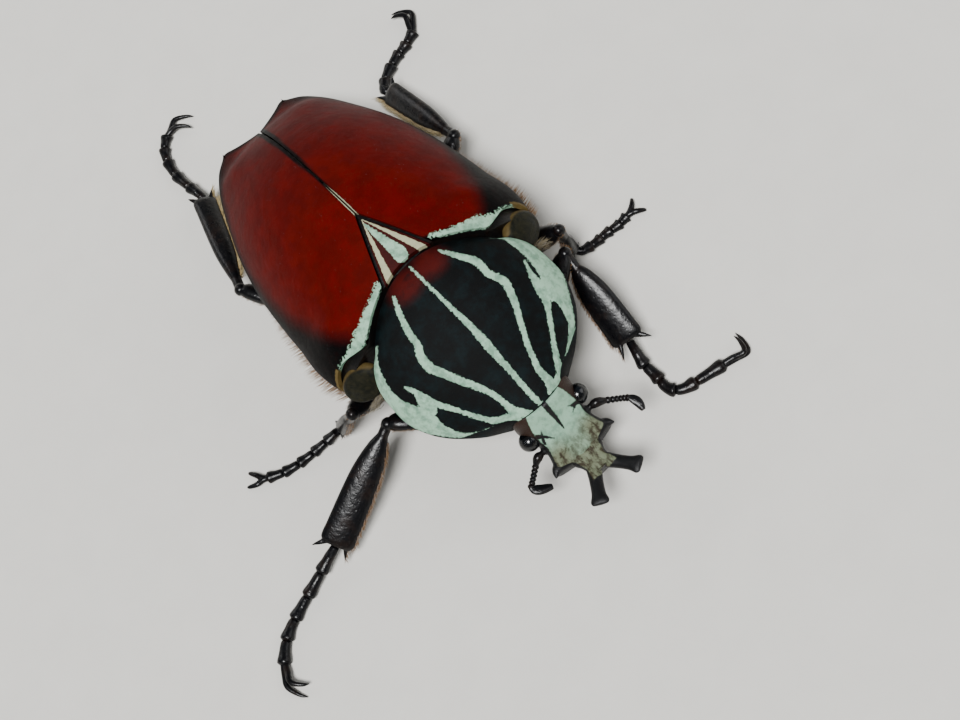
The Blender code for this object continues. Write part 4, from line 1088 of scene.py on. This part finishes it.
def elytron_point(turn, place):
    """Outer skin of the left wing case: turn degrees round from the seam, place 0 front to 1 rear."""
    spread = min(turn / 90, 1)
    base = lerp(SCUTELLUM_HALF, SHOULDER, math.sin(math.radians(min(turn, 90))))
    front = blend(FRONT_EDGE, base) - FRONT_WRAP * max(turn - 90, 0)
    rear = SEAM_END + APEX_REACH * math.sin(math.pi * min(spread * APEX_ROUND, 0.5))
    rear -= APEX_CUT * max(spread - CUT_START, 0) / (1 - CUT_START)
    y = lerp(front, rear, place)
    inner = max(SCUTELLUM_HALF * (SCUTELLUM_TIP - y) / SCUTELLUM_TIP, 0) + GAP / 2
    if y < SCUTELLUM_TIP:
        inner += GAP * SCUTELLUM_ROOM
    reach = blend(SIDE_REACH, y)
    edge = blend(SIDE_HEIGHT, y)
    seam = blend(SEAM_HEIGHT, y)
    if turn > 90:
        below = math.radians(turn - 90)
        x = reach - (reach - inner) * WRAP_TUCK * (1 - math.cos(below))
        z = edge - (seam - edge + WRAP_DROP) * WRAP_SHARE * math.sin(below)
    else:
        x = max(inner + (reach - inner) * math.sin(math.radians(turn)) ** COLUMN_EASE, inner)
        z = edge + (seam - edge) * dome(min(x / reach, 1), ELYTRON_DOME)
    return np.array((x, y, z + sum(hump(x, y, *shape) for shape in HUMPS)))


def elytron_inward(turn, place, depth):
    """The point depth inside the wing case's skin."""
    across = elytron_point(turn + 1, place) - elytron_point(max(turn - 1, 0), place)
    along = (elytron_point(turn, min(place + SLOPE_STEP, 1))
             - elytron_point(turn, max(place - SLOPE_STEP, 0)))
    point = elytron_point(turn, place) + unit(np.cross(along, across)) * depth
    point[0] = max(point[0], elytron_point(0, place)[0])
    return point


def elytron_shell():
    """Positions of the left wing case's outer and inner skin, and how far round from the seam each lies."""
    places = [(WRAP * column / ELYTRON_COLUMNS, row / ELYTRON_ROWS)
              for row in range(ELYTRON_ROWS + 1) for column in range(ELYTRON_COLUMNS + 1)]
    outer = [elytron_point(turn, place) for turn, place in places]
    inner = [elytron_inward(turn, place, SHELL) for turn, place in places]
    return raised(outer + inner), np.array([turn for turn, place in places * 2])


def reach_from(grid, axis, far):
    """How far each position of a grid lies along one axis from that axis's first or, where far, last edge."""
    steps = np.linalg.norm(np.diff(grid, axis=axis), axis=-1)
    runs = np.concatenate((np.zeros_like(np.take(steps, [0], axis)), np.cumsum(steps, axis)), axis)
    if far:
        runs = np.take(runs, [-1], axis) - runs
    return runs.ravel()


def elytron_marks(verts, turn):
    """The marks that both wing cases share, as (label, value at each position) pairs."""
    grid = verts.reshape(2, ELYTRON_ROWS + 1, ELYTRON_COLUMNS + 1, 3)
    border = reach_from(grid, 2, True)
    behind_front = reach_from(grid, 1, False)
    x = verts[:, 0]
    y = verts[:, 1]
    margin = blend_all(MARGIN_WIDTH, behind_front)
    black_half = SEAM_BLACK * smooth(*SEAM_BLACK_GROWTH, y)
    # black of the margin, the rear edge and the seam, and painted shade along the front edge
    dark = np.maximum.reduce([
        smooth(margin + MARGIN_FADE[0], margin + MARGIN_FADE[1], border),
        smooth(*REAR_DARK, reach_from(grid, 1, True)),
        smooth(*SEAM_BLACK_FADE, x - black_half) * (y > SEAM_BLACK_START),
        smooth(*PAINTED_FRONT_SHADE, behind_front)])
    seam = np.where(y > SCUTELLUM_TIP - SEAM_LINE_LEAD, SEAM_LINE - x, -1)
    return (("dark", dark), ("deep", DEEP_SHARE * smooth(*DEEP_RUN, y)),
            ("painted_sheen", smooth(*PAINTED_SHEEN_EDGE, border) * smooth(*PAINTED_SHEEN_START, behind_front)),
            ("seam", seam - SEAM_LINE_LOSS * smooth(*SEAM_LINE_END, y)),
            ("lip", np.where(turn > LIP_TURN, LIP_WIDTH - behind_front, -1)))


def build_elytra():
    verts, turn = elytron_shell()
    faces = plate_faces(ELYTRON_ROWS, ELYTRON_COLUMNS)
    marks = elytron_marks(verts, turn)
    for side, hand in HANDS:
        name = "elytron_" + side
        spots = verts * (hand, 1, 1)
        white = np.where(turn < BAND_TURN, stripe_depth(spots, (BANDS[side],)), -1)
        mesh = new_mesh(name, spots, faces)
        show(name, mesh, ELYTRON_LOOK, name, (("white", white), *marks), CREASE)


def scutellum_top(row, column):
    share = row / SCUTELLUM_ROWS
    across = 2 * column / SCUTELLUM_COLUMNS - 1
    x = across * ((SCUTELLUM_HALF - GAP) * (1 - share) + SCUTELLUM_POINT)
    y = lerp(pronotum_base(x) + GAP, SCUTELLUM_TIP - SCUTELLUM_SHORT, share)
    drop, power = SCUTELLUM_ROUND
    return x, y, blend(SEAM_HEIGHT, y) + SCUTELLUM_PROUD - SCUTELLUM_BOW * x * x - drop * abs(across) ** power


def build_scutellum():
    top = raised([scutellum_top(row, column)
                  for row in range(SCUTELLUM_ROWS + 1) for column in range(SCUTELLUM_COLUMNS + 1)])
    verts = np.vstack((top, top - UP * SCUTELLUM_THICK))
    mesh = new_mesh("scutellum", verts, plate_faces(SCUTELLUM_ROWS, SCUTELLUM_COLUMNS))
    spots = positions(mesh)
    share = (SCUTELLUM_TIP - SCUTELLUM_SHORT - spots[:, 1]) / SCUTELLUM_TIP
    half = (SCUTELLUM_HALF - GAP) * np.clip(share, 0, 1) + SCUTELLUM_POINT
    inward = half - np.abs(spots[:, 0])
    cream = np.minimum(lerp(*CREAM_WIDTH, share) - inward, inward - CREAM_INSET)
    marks = (("white", stripe_depth(spots, (SCUTELLUM_WEDGE,))), ("cream", cream))
    show("scutellum", mesh, SCUTELLUM_LOOK, "scutellum", marks, CREASE)


def trunk_paths():
    """For each turn round the wing case, a line under its shell from front to rear."""
    paths = []
    for column in range(TRUNK_COLUMNS + 1):
        turn = TRUNK_TURN * column / TRUNK_COLUMNS
        paths.append(np.array([elytron_inward(turn, step / PATH_STEPS, SHELL + GAP)
                               for step in range(PATH_STEPS + 1)]))
    return paths


def trunk_ring(paths, y, follow):
    """Section of the trunk under the wing cases; follow 1 bends it along the pronotum's hind edge."""
    half = []
    for column, path in enumerate(paths):
        here = y + follow * pronotum_base(path[0, 0])
        point = np.array([np.interp(here, path[:, 1], path[:, axis]) for axis in range(3)])
        if column == 0:
            point[0] = 0
        point[1] = here
        half.append(point)
    reach, hind, rim = half[-1]
    belly = blend(BELLY_HEIGHT, y)
    for column in range(1, TRUNK_SIDES + 1):
        across = 1 - column / TRUNK_SIDES
        half.append((reach * across, hind, belly + (rim - belly) * across ** TRUNK_POWER))
    return mirrored_ring(raised(half))


def trunk_rings(name, rows):
    """Sections of the metathorax or the abdomen from front to rear."""
    paths = trunk_paths()
    front, rear = TRUNK_SPANS[name]
    follow = 1 if name == "metathorax" else 0
    return [trunk_ring(paths, lerp(front, rear, row / rows), follow * (1 - row / rows))
            for row in range(rows + 1)]


def build_metathorax():
    parts = (loft(trunk_rings("metathorax", TRUNK_ROWS)), ball(raised(KEEL_CENTRE), KEEL_RADII))
    mesh = new_mesh("metathorax", *together(parts))
    show("metathorax", mesh, BELLY_LOOK, "metathorax", (), CREASE)


def build_abdomen():
    mesh = new_mesh("abdomen", *loft(trunk_rings("abdomen", TRUNK_ROWS)))
    front, rear = TRUNK_SPANS["abdomen"]
    place = (positions(mesh)[:, 1] - front) / (rear - front) * BELLY_SEGMENTS
    press(mesh, -GROOVE_DEPTH * np.exp(-((place - np.round(place)) / GROOVE_WIDTH) ** 2))
    show("abdomen", mesh, BELLY_LOOK, "abdomen", (), CREASE)


def build_pygidium():
    rings = [section(*station, PYGIDIUM_SIDES) for station in course(PYGIDIUM_STATIONS, PYGIDIUM_ROWS)]
    show("pygidium", new_mesh("pygidium", *loft(rings)), BELLY_LOOK, "pygidium")


def build_epimera():
    """The plates between the pronotum and each wing case."""
    for side, hand in HANDS:
        name = "epimeron_" + side
        centre = handed(EPIMERON_CENTRE, hand)
        angles = (hand * EPIMERON_TURN, hand * EPIMERON_TILT, EPIMERON_LEAN)
        mesh = new_mesh(name, *ball(centre, EPIMERON_RADII, *angles, EPIMERON_ROWS, EPIMERON_SIDES))
        own = (positions(mesh) - centre) @ np.array(pose(*angles)) / EPIMERON_RADII
        across = np.hypot(own[:, 0], own[:, 2])
        press(mesh, -EPIMERON_HOLLOW * smooth(*HOLLOW_FADE, across))
        retreat, edge = EPIMERON_BARE
        rim = across - retreat * smooth(edge, -edge, own[:, 2])
        show(name, mesh, EPIMERON_LOOK, name, (("rim", rim),))


# head and horn

def head_ring(y, half, top, bottom, sweep):
    angles = round_angles(HEAD_SIDES)
    wide = signed_power(np.sin(angles), HEAD_SQUARE[0])
    tall = np.cos(angles)
    middle = lerp(bottom, top, HEAD_MIDDLE)
    height = np.where(tall > 0, top - middle, middle - bottom) * signed_power(tall, HEAD_SQUARE[1])
    dish = np.where(tall > 0, HEAD_DISH * (1 - wide * wide) * np.minimum(tall * 2, 1), 0)
    back = y + sweep * HEAD_SWEEP * wide * wide
    return raised(np.column_stack((half * wide, back, middle + height - dish)))


def head_parts():
    """The skull and, on each side, a corner tooth, an eye socket and a feeler's bed."""
    parts = [loft([head_ring(*station) for station in course((NECK_STATION, *HEAD_STATIONS), HEAD_ROWS)])]
    for side, hand in reversed(HANDS):
        corner = course(handed(CORNER_RUN, hand), CORNER_STEPS)
        parts.append(tube(corner, swell(CORNER_STEPS, CORNER_PROFILE), UP, CORNER_SIDES))
        parts.append(ball(handed(np.add(EYE_CENTRE, SOCKET_SHIFT), hand), SOCKET_RADII))
        bed = FEELERS[side][0] + np.array(FEELER_BED_SHIFT) * (hand, 1, 1)
        parts.append(ball(bed, FEELER_BED_RADII))
    return parts


def beyond_plate(mesh):
    """How far each position lies beyond the side of the white plate of the head and horn."""
    spots = positions(mesh)
    return np.abs(spots[:, 0]) - blend_all(PLATE_REACH, -spots[:, 1])


def turned_away(mesh):
    """Depth in the black of skin that faces up too little to be white."""
    return (WHITE_RISE - normals(mesh)[:, 2]) * RISE_SCALE


def raise_brows(mesh, across, beside):
    """Lift the sides of the clypeus and sink the middle between them."""
    y = positions(mesh)[:, 1]
    above = smooth(*BROW_FACING, normals(mesh)[:, 2]) * smooth(*BROW_START, y) * smooth(*BROW_END, y)
    brow = np.exp(-((beside + BROW_INSET) / BROW_WIDTH) ** 2)
    press(mesh, above * BROW_HEIGHT * (brow - smooth(*BROW_HOLLOW, across)))


def build_head():
    mesh = melt("head", head_parts(), HEAD_GRAIN, HEAD_PASSES)
    across = np.abs(positions(mesh)[:, 0])
    beside = beyond_plate(mesh)
    raise_brows(mesh, across, beside)
    spots = positions(mesh)
    y = spots[:, 1]
    black = np.maximum.reduce([stripe_depth(spots, HEAD_DARKS), beside, turned_away(mesh)])
    stain = smooth(*STAIN_START, y + STAIN_LEAD * smooth(*STAIN_MIDDLE, across))
    stain *= lerp(STAIN_LEAST, 1, smooth(*STAIN_SIDES, across))
    brown = smooth(*BROWN_START, y) * smooth(*BROWN_SIDES, across)
    show("head", mesh, HEAD_LOOK, "head", (("black", black), ("stain", stain), ("brown", brown)))


def build_horn():
    """The flat stem that carries on from the head and forks into two prongs, flared at their ends."""
    parts = [loft([section(*station, STEM_SIDES) for station in course(HORN_STEM, HORN_STEPS)])]
    for side, hand in reversed(HANDS):
        prong = course(handed(PRONG_RUN, hand), HORN_STEPS)
        parts.append(tube(prong, swell(HORN_STEPS, PRONG_PROFILE), UP, PRONG_SIDES))
    mesh = melt("horn", parts, HEAD_GRAIN, HORN_PASSES)
    spots = positions(mesh)
    top = normals(mesh)[:, 2] > HORN_HOLLOW_RISE
    hollow = smooth(*HORN_HOLLOW_SIDES, np.abs(spots[:, 0])) * smooth(*HORN_HOLLOW_END, spots[:, 1]) * top
    press(mesh, -HORN_HOLLOW * hollow)
    ahead = (PRONG_BLACK - positions(mesh)[:, 1]) * PRONG_BLACK_SCALE
    black = np.maximum.reduce([beyond_plate(mesh), ahead, turned_away(mesh)])
    show("horn", mesh, HEAD_LOOK, "horn", (("black", black), ("stain", np.ones(len(black)))))


def build_eye(name, hand):
    centre = handed(np.add(EYE_CENTRE, EYE_SHIFT), hand)
    mesh = new_mesh(name, *ball(centre, (EYE_LENS,) * 3, rows=EYE_ROWS, sides=EYE_SIDES))
    show(name, mesh, EYE_LOOK, name)


def build_feeler(name, hand, points):
    """A stalk, a chain of short joints and a club of three leaves."""
    run = course(points, FEELER_STEPS)
    inside = run[0] + np.array(FEELER_INSIDE) * (hand, 1, 1)
    stalk = course((inside, run[0], run[STALK_END]), STALK_STEPS)
    parts = [tube(stalk, [(FEELER_STALK, FEELER_STALK)] * len(stalk), UP, FEELER_SIDES)]
    for start, end, radius in FEELER_JOINTS:
        path = run[int(start * FEELER_STEPS):int(end * FEELER_STEPS) + 2]
        swells = [wave(step / (len(path) - 1), *JOINT_SWELL) for step in range(len(path))]
        sizes = [(radius * lerp(FEELER_NECK, 1, share),) * 2 for share in swells]
        parts.append(tube(path, sizes, UP, FEELER_SIDES))
    club = run[int(CLUB_START * FEELER_STEPS):]
    swells = [wave(step / (len(club) - 1), *CLUB_SWELL, CLUB_POWER) for step in range(len(club))]
    sizes = [(CLUB_HALF * share + CLUB_EDGE, CLUB_THICK) for share in swells]
    for leaf in (-1, 0, 1):
        parts.append(tube([point + UP * LEAF_STEP * leaf for point in club], sizes, UP, FEELER_SIDES))
    show(name, new_mesh(name, *together(parts)), LIMB_LOOK, name)


def build_mouthparts():
    run = course(raised(MOUTH_RUN), MOUTH_STEPS)
    mesh = new_mesh("mouthparts", *tube(run, swell(MOUTH_STEPS, MOUTH_PROFILE), UP, MOUTH_SIDES))
    show("mouthparts", mesh, BELLY_LOOK, "mouthparts")


# hair

def on_map(first, second, edge=MAP_EDGE):
    """Places on the map, kept off its border, from two shares."""
    return np.column_stack((first, second)) * (1 - 2 * edge) + edge


def tuft_faces():
    """Faces of one tuft: its root, the sides between its rings and the ones that meet at its tip."""
    faces = [tuple(range(HAIR_SIDES))]
    last = (len(HAIR_STATIONS) - 1) * HAIR_SIDES
    for low in range(0, last, HAIR_SIDES):
        high = low + HAIR_SIDES
        for side in range(HAIR_SIDES):
            turn = (side + 1) % HAIR_SIDES
            faces.append((low + side, low + turn, high + turn, high + side))
    tip = last + HAIR_SIDES
    faces += [(last + side, last + (side + 1) % HAIR_SIDES, tip) for side in range(HAIR_SIDES)]
    return faces


def hairs(name, look, node, roots, aims, droop, lengths, radius, patches):
    """Tapered tufts: each leaves its root along its aim and bends by droop; patches are places on the map."""
    count = len(roots)
    aims = aims / np.linalg.norm(aims, axis=1)[:, None]
    wide = np.cross(aims, HAIR_ACROSS)
    wide /= np.linalg.norm(wide, axis=1)[:, None]
    tall = np.cross(wide, aims)
    rings = []
    tips = []
    for place, share in HAIR_STATIONS:
        middle = roots + (aims * place + droop * place ** 2) * lengths[:, None]
        for angle in round_angles(HAIR_SIDES):
            rings.append(middle + (wide * math.cos(angle) + tall * math.sin(angle)) * radius * share)
            tips.append(place)
    rings.append(roots + (aims + droop) * lengths[:, None])
    tips.append(1.0)
    each = len(rings)
    verts = np.stack(rings, axis=1).reshape(-1, 3)
    pattern = tuft_faces()
    faces = [tuple(index + tuft * each for index in face) for tuft in range(count) for face in pattern]
    mesh = new_mesh(name, verts, faces)
    layer = mesh.uv_layers.new(name="OFBake")
    corner = np.empty(len(mesh.loops), dtype=np.int32)
    mesh.loops.foreach_get("vertex_index", corner)
    turns = PATCH_TURN * np.arange(each)
    spread = np.column_stack((np.cos(turns), np.sin(turns))) * 0.5 * PATCH
    layer.data.foreach_set("uv", (patches[corner // each] + spread[corner % each]).ravel())
    show(name, mesh, look, node, (("tip", np.tile(tips, count)),))


def on_rings(rings, along, around):
    """Positions between the rows and columns of a grid, at fractional rows along and columns around."""
    row = along.astype(int)
    side = around.astype(int)
    part_row = (along - row)[:, None]
    part_side = (around - side)[:, None]
    near = rings[row, side] * (1 - part_side) + rings[row, side + 1] * part_side
    far = rings[row + 1, side] * (1 - part_side) + rings[row + 1, side + 1] * part_side
    return near * (1 - part_row) + far * part_row


def flank_tufts(name, side, hand, rings, rim, draw):
    """The golden tufts of one side of the metathorax or the abdomen."""
    def some(least, spread):
        return least + spread * draw.random(FLANK_TUFTS)

    along = draw.random(FLANK_TUFTS) * (FLANK_ROWS - ROW_SLACK)
    around = TRUNK_COLUMNS - 1 + draw.random(FLANK_TUFTS) ** FLANK_GATHER * FLANK_BAND
    roots = on_rings(rings, along, around) * (hand, 1, 1)
    aims = np.column_stack([some(*pair) for pair in FLANK_AIM]) * (hand, 1, 1)
    place = along / FLANK_ROWS
    fade = smooth(*FLANK_FADE, place if name == "metathorax" else FLANK_END - place)
    lengths = some(FLANK_LENGTH[name], FLANK_SPREAD) * fade
    droop = np.tile(FLANK_DROOP, (FLANK_TUFTS, 1))
    low = np.interp(roots[:, 1], rim[:, 1], rim[:, 2]) - roots[:, 2]
    behind = roots[:, 1] + some(*FRINGE_BACK)
    beyond = blend_all(FRINGE_REACH, behind) * draw.random(FLANK_TUFTS) ** FRINGE_POWER
    ends = np.column_stack((hand * (np.interp(behind, rim[:, 1], rim[:, 0]) + beyond), behind,
                            np.interp(behind, rim[:, 1], rim[:, 2]) - some(*FRINGE_DROP)))
    near = low < FRINGE_DEPTH
    aims[near] = (ends - roots)[near]
    lengths[near] = np.linalg.norm(aims[near], axis=1)
    droop[near] *= FRINGE_STIFF
    patches = on_map(place, around / len(rings[0]))
    free = low > RIM_CLEARANCE
    hairs("fringe_" + name + "_" + side, GOLD_LOOK, name, roots[free], aims[free], droop[free],
          lengths[free], FLANK_RADIUS, patches[free])


def build_flank_hair():
    """The golden fringe that shows beyond the edges of the wing cases."""
    draw = np.random.default_rng(SEED)
    rim = raised([elytron_point(WRAP, step / RIM_STEPS) for step in range(RIM_STEPS + 1)])
    for name in TRUNK_SPANS:
        rings = np.array(trunk_rings(name, FLANK_ROWS))
        for side, hand in HANDS:
            flank_tufts(name, side, hand, rings, rim, draw)


def build_shoulder_hair():
    """Dun tufts that fill the hollow in front of each epimeron."""
    draw = np.random.default_rng(SEED + 1)
    count = SHOULDER_TUFTS
    for side, hand in HANDS:
        place = draw.random(count)
        line = np.outer(1 - place, SHOULDER_LINE[0]) + np.outer(place, SHOULDER_LINE[1])
        roots = handed(line + draw.normal(0, SHOULDER_SCATTER, (count, 3)), hand)
        aims = np.array(SHOULDER_AIM) * (hand, 1, 1) + draw.normal(0, SHOULDER_SPREAD, (count, 3))
        lengths = SHOULDER_LENGTH[0] + SHOULDER_LENGTH[1] * draw.random(count)
        droop = np.tile(np.array(SHOULDER_DROOP) * (hand, 1, 1), (count, 1))
        patches = on_map(place, draw.random(count), SHOULDER_MAP_EDGE)
        hairs("shoulder_hair_" + side, DUN_LOOK, "metathorax", roots, aims, droop, lengths,
              SHOULDER_RADIUS, patches)


def pile(node, mesh, look, axis, places, count, lay, length, seed):
    """Short hairs on the given vertices of a leg's skin, leaning along lay; the map unrolls it round axis."""
    draw = np.random.default_rng(seed)
    picked = draw.choice(np.flatnonzero(places), count)
    outward = normals(mesh)[picked]
    roots = positions(mesh)[picked] - outward * PILE_SINK
    aims = outward * PILE_RISE + lay + draw.normal(0, PILE_SPREAD, (count, 3))
    lengths = length * (PILE_LENGTH[0] + PILE_LENGTH[1] * draw.random(count))
    start, end = axis
    ahead = unit(end - start)
    along = (roots - start) @ ahead / np.linalg.norm(end - start)
    side = unit(np.cross(ahead, PILE_ACROSS))
    tall = np.cross(side, ahead)
    turn = np.arctan2((roots - start) @ side, (roots - start) @ tall) / (2 * math.pi) + 0.5
    patches = on_map(np.clip(along, 0, 1), turn)
    droop = np.tile(lay * PILE_DROOP, (count, 1))
    hairs(node + "_hair", look, node, roots, aims, droop, lengths, PILE_RADIUS, patches)


# legs

def build_leg(name, plan):
    coxa, hip, thigh, knee, ankle = (np.array(plan[part]) for part in LEG_POINTS)
    build_coxa(name + "_coxa", coxa)
    build_femur(name + "_femur", coxa, hip, thigh, knee)
    shin = unit(ankle - knee)
    fold = max(-unit(knee - thigh) @ shin, 0)
    top = knee + shin * (KNEE_ROOM + KNEE_FOLD * fold + GAP)
    build_tibia(name, plan, knee, top, ankle)
    build_tarsus(name + "_tarsus", plan, ankle)


def build_coxa(name, centre):
    turn = math.copysign(COXA_TURN, centre[0])
    show(name, new_mesh("coxa", *ball(centre, COXA_RADII, turn)), LIMB_LOOK, name)


def build_femur(name, coxa, hip, thigh, knee):
    """The femur with its root in the coxa, and the short hair on its front and rear."""
    run = course((hip, thigh, knee), FEMUR_STEPS)
    thick = tube(run, swell(FEMUR_STEPS, FEMUR_PROFILE), FEMUR_TALL, LEG_SIDES)
    bends = (coxa, lerp(coxa, hip, HIP_ROOT[0]), lerp(hip, thigh, HIP_ROOT[1]))
    root = course(bends, NECK_STEPS)
    parts = (thick, ball(knee, KNEE_BALL), ball(hip, HIP_BALL),
             tube(root, [HIP_ROOT_SIZE] * len(root), FEMUR_TALL, NECK_SIDES))
    mesh = melt("femur", parts, LEG_GRAIN, LEG_PASSES)
    show(name, mesh, LIMB_LOOK, name)
    places = np.abs(normals(mesh)[:, 2]) < FEMUR_HAIR_FACING
    count, length = FEMUR_HAIR
    lay = unit(knee - hip) * FEMUR_HAIR_LAY
    pile(name, mesh, GOLD_LOOK, (hip, knee), places, count, lay, length, SEED + 5)


def tibia_spikes(plan, top, ankle, shin, outer, flat):
    """The tibia's teeth and spurs, each as root, reach and radius."""
    width = plan["shank"]
    spikes = []
    for along, out, outward, down, length, thick in TIBIA_TEETH:
        root = lerp(top, ankle, along) + outer * width * out
        spikes.append((root, (outer * outward + shin * down) * (width * length), thick))
    for spur in range(plan["spurs"]):
        turn = SPUR_LIFT - SPUR_STEP * spur
        root = lerp(top, ankle, SPUR_PLACE) - outer * width * SPUR_ROOT + flat * turn
        aim = shin - outer * SPUR_LEAN + flat * turn * SPUR_TURN
        spikes.append((root, aim * (width * SPUR_GROWTH + SPUR_LENGTH), SPUR_THICK))
    return spikes


def build_tibia(name, plan, knee, top, ankle):
    """A flat shin that widens to its end, with two teeth on its outer side and spurs at the end."""
    shin = unit(ankle - knee)
    flat = unit(np.cross(shin, plan["edge"]))
    outer = np.cross(flat, shin)
    profile = [TIBIA_TOP] + [(place, plan["shank"] * wide, deep) for place, wide, deep in TIBIA_PROFILE]
    run = course((top, lerp(top, ankle, 0.5), ankle), TIBIA_STEPS)
    neck = course((knee, lerp(knee, top, 0.5), lerp(top, ankle, NECK_END)), NECK_STEPS)
    parts = [tube(run, swell(TIBIA_STEPS, profile), flat, LEG_SIDES), ball(knee, TIBIA_BALL),
             tube(neck, [TIBIA_NECK] * len(neck), flat, NECK_SIDES)]
    for root, reach, thick in tibia_spikes(plan, top, ankle, shin, outer, flat):
        tip = root + reach
        tip[2] = max(tip[2], LOWEST_SPIKE)
        path = course((root, lerp(root, tip, 0.5), tip), SPIKE_STEPS)
        sizes = [(place, wide * thick, deep * thick) for place, wide, deep in SPIKE_PROFILE] + [SPIKE_TIP]
        parts.append(tube(path, swell(SPIKE_STEPS, sizes), flat, SPIKE_SIDES))
    mesh = melt("tibia", parts, LEG_GRAIN, LEG_PASSES)
    node = name + "_tibia"
    show(node, mesh, LIMB_LOOK, node)
    kind = name.split("_")[0]
    count, length = SHIN_HAIR[kind]
    look = STRAW_LOOK if kind == "hind" else GOLD_LOOK
    places = (normals(mesh) @ outer < SHIN_HAIR_FACING) & ((positions(mesh) - top) @ shin > SHIN_HAIR_START)
    seed = SEED + 10 * sorted(LEGS).index(name)
    pile(node, mesh, look, (top, ankle), places, count, shin * SHIN_HAIR_LAY, length, seed)


def build_tarsus(name, plan, ankle):
    """Five joints, each flared at its end, then two claws."""
    run = course([(x, y, z - TOE_SINK) for x, y, z in plan["toes"]], TOE_JOINTS * TOE_ROWS)
    run[0] = lerp(ankle, run[0], TOE_START)
    sizes = swell(TOE_ROWS, TOE_PROFILE, plan["toe"])
    parts = [tube(run[row:row + TOE_ROWS + 1], sizes, UP, TOE_SIDES, 0.0)
             for row in range(0, TOE_JOINTS * TOE_ROWS, TOE_ROWS)]
    last = run[-1]
    inward = unit(run[-CLAW_BACK] - last)
    for number, (bulge, tip) in enumerate(np.array(plan["claws"])):
        spread = unit(np.cross(tip - last, UP)) * CLAW_SPREAD * (1 - 2 * number)
        points = (last + inward * CLAW_SINK + spread, lerp(last, bulge, CLAW_BENDS[0]) + spread, bulge,
                  lerp(bulge, tip, CLAW_BENDS[1]) + unit(bulge - last) * CLAW_BOW, tip)
        claw = course(points, CLAW_STEPS)
        parts.append(tube(claw, swell(CLAW_STEPS, CLAW_PROFILE), UP, SPIKE_SIDES, CLAW_FLOORS[number]))
    show(name, new_mesh(name, *together(parts)), LIMB_LOOK, name)


# floor, light and camera

def build_floor():
    """A pale floor that bends up into a low backdrop all round."""
    profile = [(reach, 0.0) for reach in (*FLOOR_FIRST, FLOOR_REACH)]
    for step in range(1, BACKDROP_STEPS + 1):
        angle = 0.5 * math.pi * step / BACKDROP_STEPS
        profile.append((FLOOR_REACH + BACKDROP_BEND * math.sin(angle), BACKDROP_BEND * (1 - math.cos(angle))))
    profile.append((FLOOR_REACH + BACKDROP_BEND, BACKDROP_TOP))
    angles = round_angles(FLOOR_SIDES)
    verts = [(reach * math.cos(angle), reach * math.sin(angle), height)
             for reach, height in profile for angle in angles]
    faces = []
    for near in range(0, len(verts) - FLOOR_SIDES, FLOOR_SIDES):
        far = near + FLOOR_SIDES
        for side in range(FLOOR_SIDES):
            turn = (side + 1) % FLOOR_SIDES
            faces.append((near + side, near + turn, far + turn, far + side))
    faces.append(tuple(range(FLOOR_SIDES - 1, -1, -1)))
    mesh = bpy.data.meshes.new("floor")
    mesh.from_pydata(verts, [], faces)
    mesh.polygons.foreach_set("use_smooth", [True] * len(mesh.polygons))
    mesh.materials.append(floor_look())
    floor = bpy.data.objects.new("floor", mesh)
    bpy.context.scene.collection.objects.link(floor)


def build_light():
    world = bpy.data.worlds.new("soft sky")
    world.use_nodes = True
    background = world.node_tree.nodes["Background"]
    background.inputs["Color"].default_value = (*SKY, 1)
    background.inputs["Strength"].default_value = SKY_STRENGTH
    bpy.context.scene.world = world
    for name, (toward, power, angle) in LIGHTS.items():
        lamp = bpy.data.lights.new(name, "SUN")
        lamp.energy = power
        lamp.angle = angle
        made = bpy.data.objects.new(name, lamp)
        made.rotation_euler = Vector(toward).to_track_quat("Z", "Y").to_euler()
        bpy.context.scene.collection.objects.link(made)


def build_camera():
    data = bpy.data.cameras.new("camera")
    data.sensor_width = SENSOR
    data.lens = FOCAL_PIXELS / PHOTO_SIZE[0] * SENSOR
    data.clip_start = NEAREST
    made = bpy.data.objects.new("camera", data)
    turn = Matrix(CAMERA_TURN.tolist()).to_4x4()
    made.matrix_world = Matrix.Translation(Vector((CAMERA_PLACE + SHIFT) * MM)) @ turn
    bpy.context.scene.collection.objects.link(made)
    bpy.context.scene.camera = made


build_pronotum()
build_elytra()
build_scutellum()
build_metathorax()
build_abdomen()
build_pygidium()
build_epimera()
build_head()
build_horn()
for side, hand in HANDS:
    build_eye("eye_" + side, hand)
    build_feeler("antenna_" + side, hand, FEELERS[side])
build_mouthparts()
build_flank_hair()
build_shoulder_hair()
for name, plan in LEGS.items():
    build_leg(name, plan)
build_floor()
build_light()
build_camera()
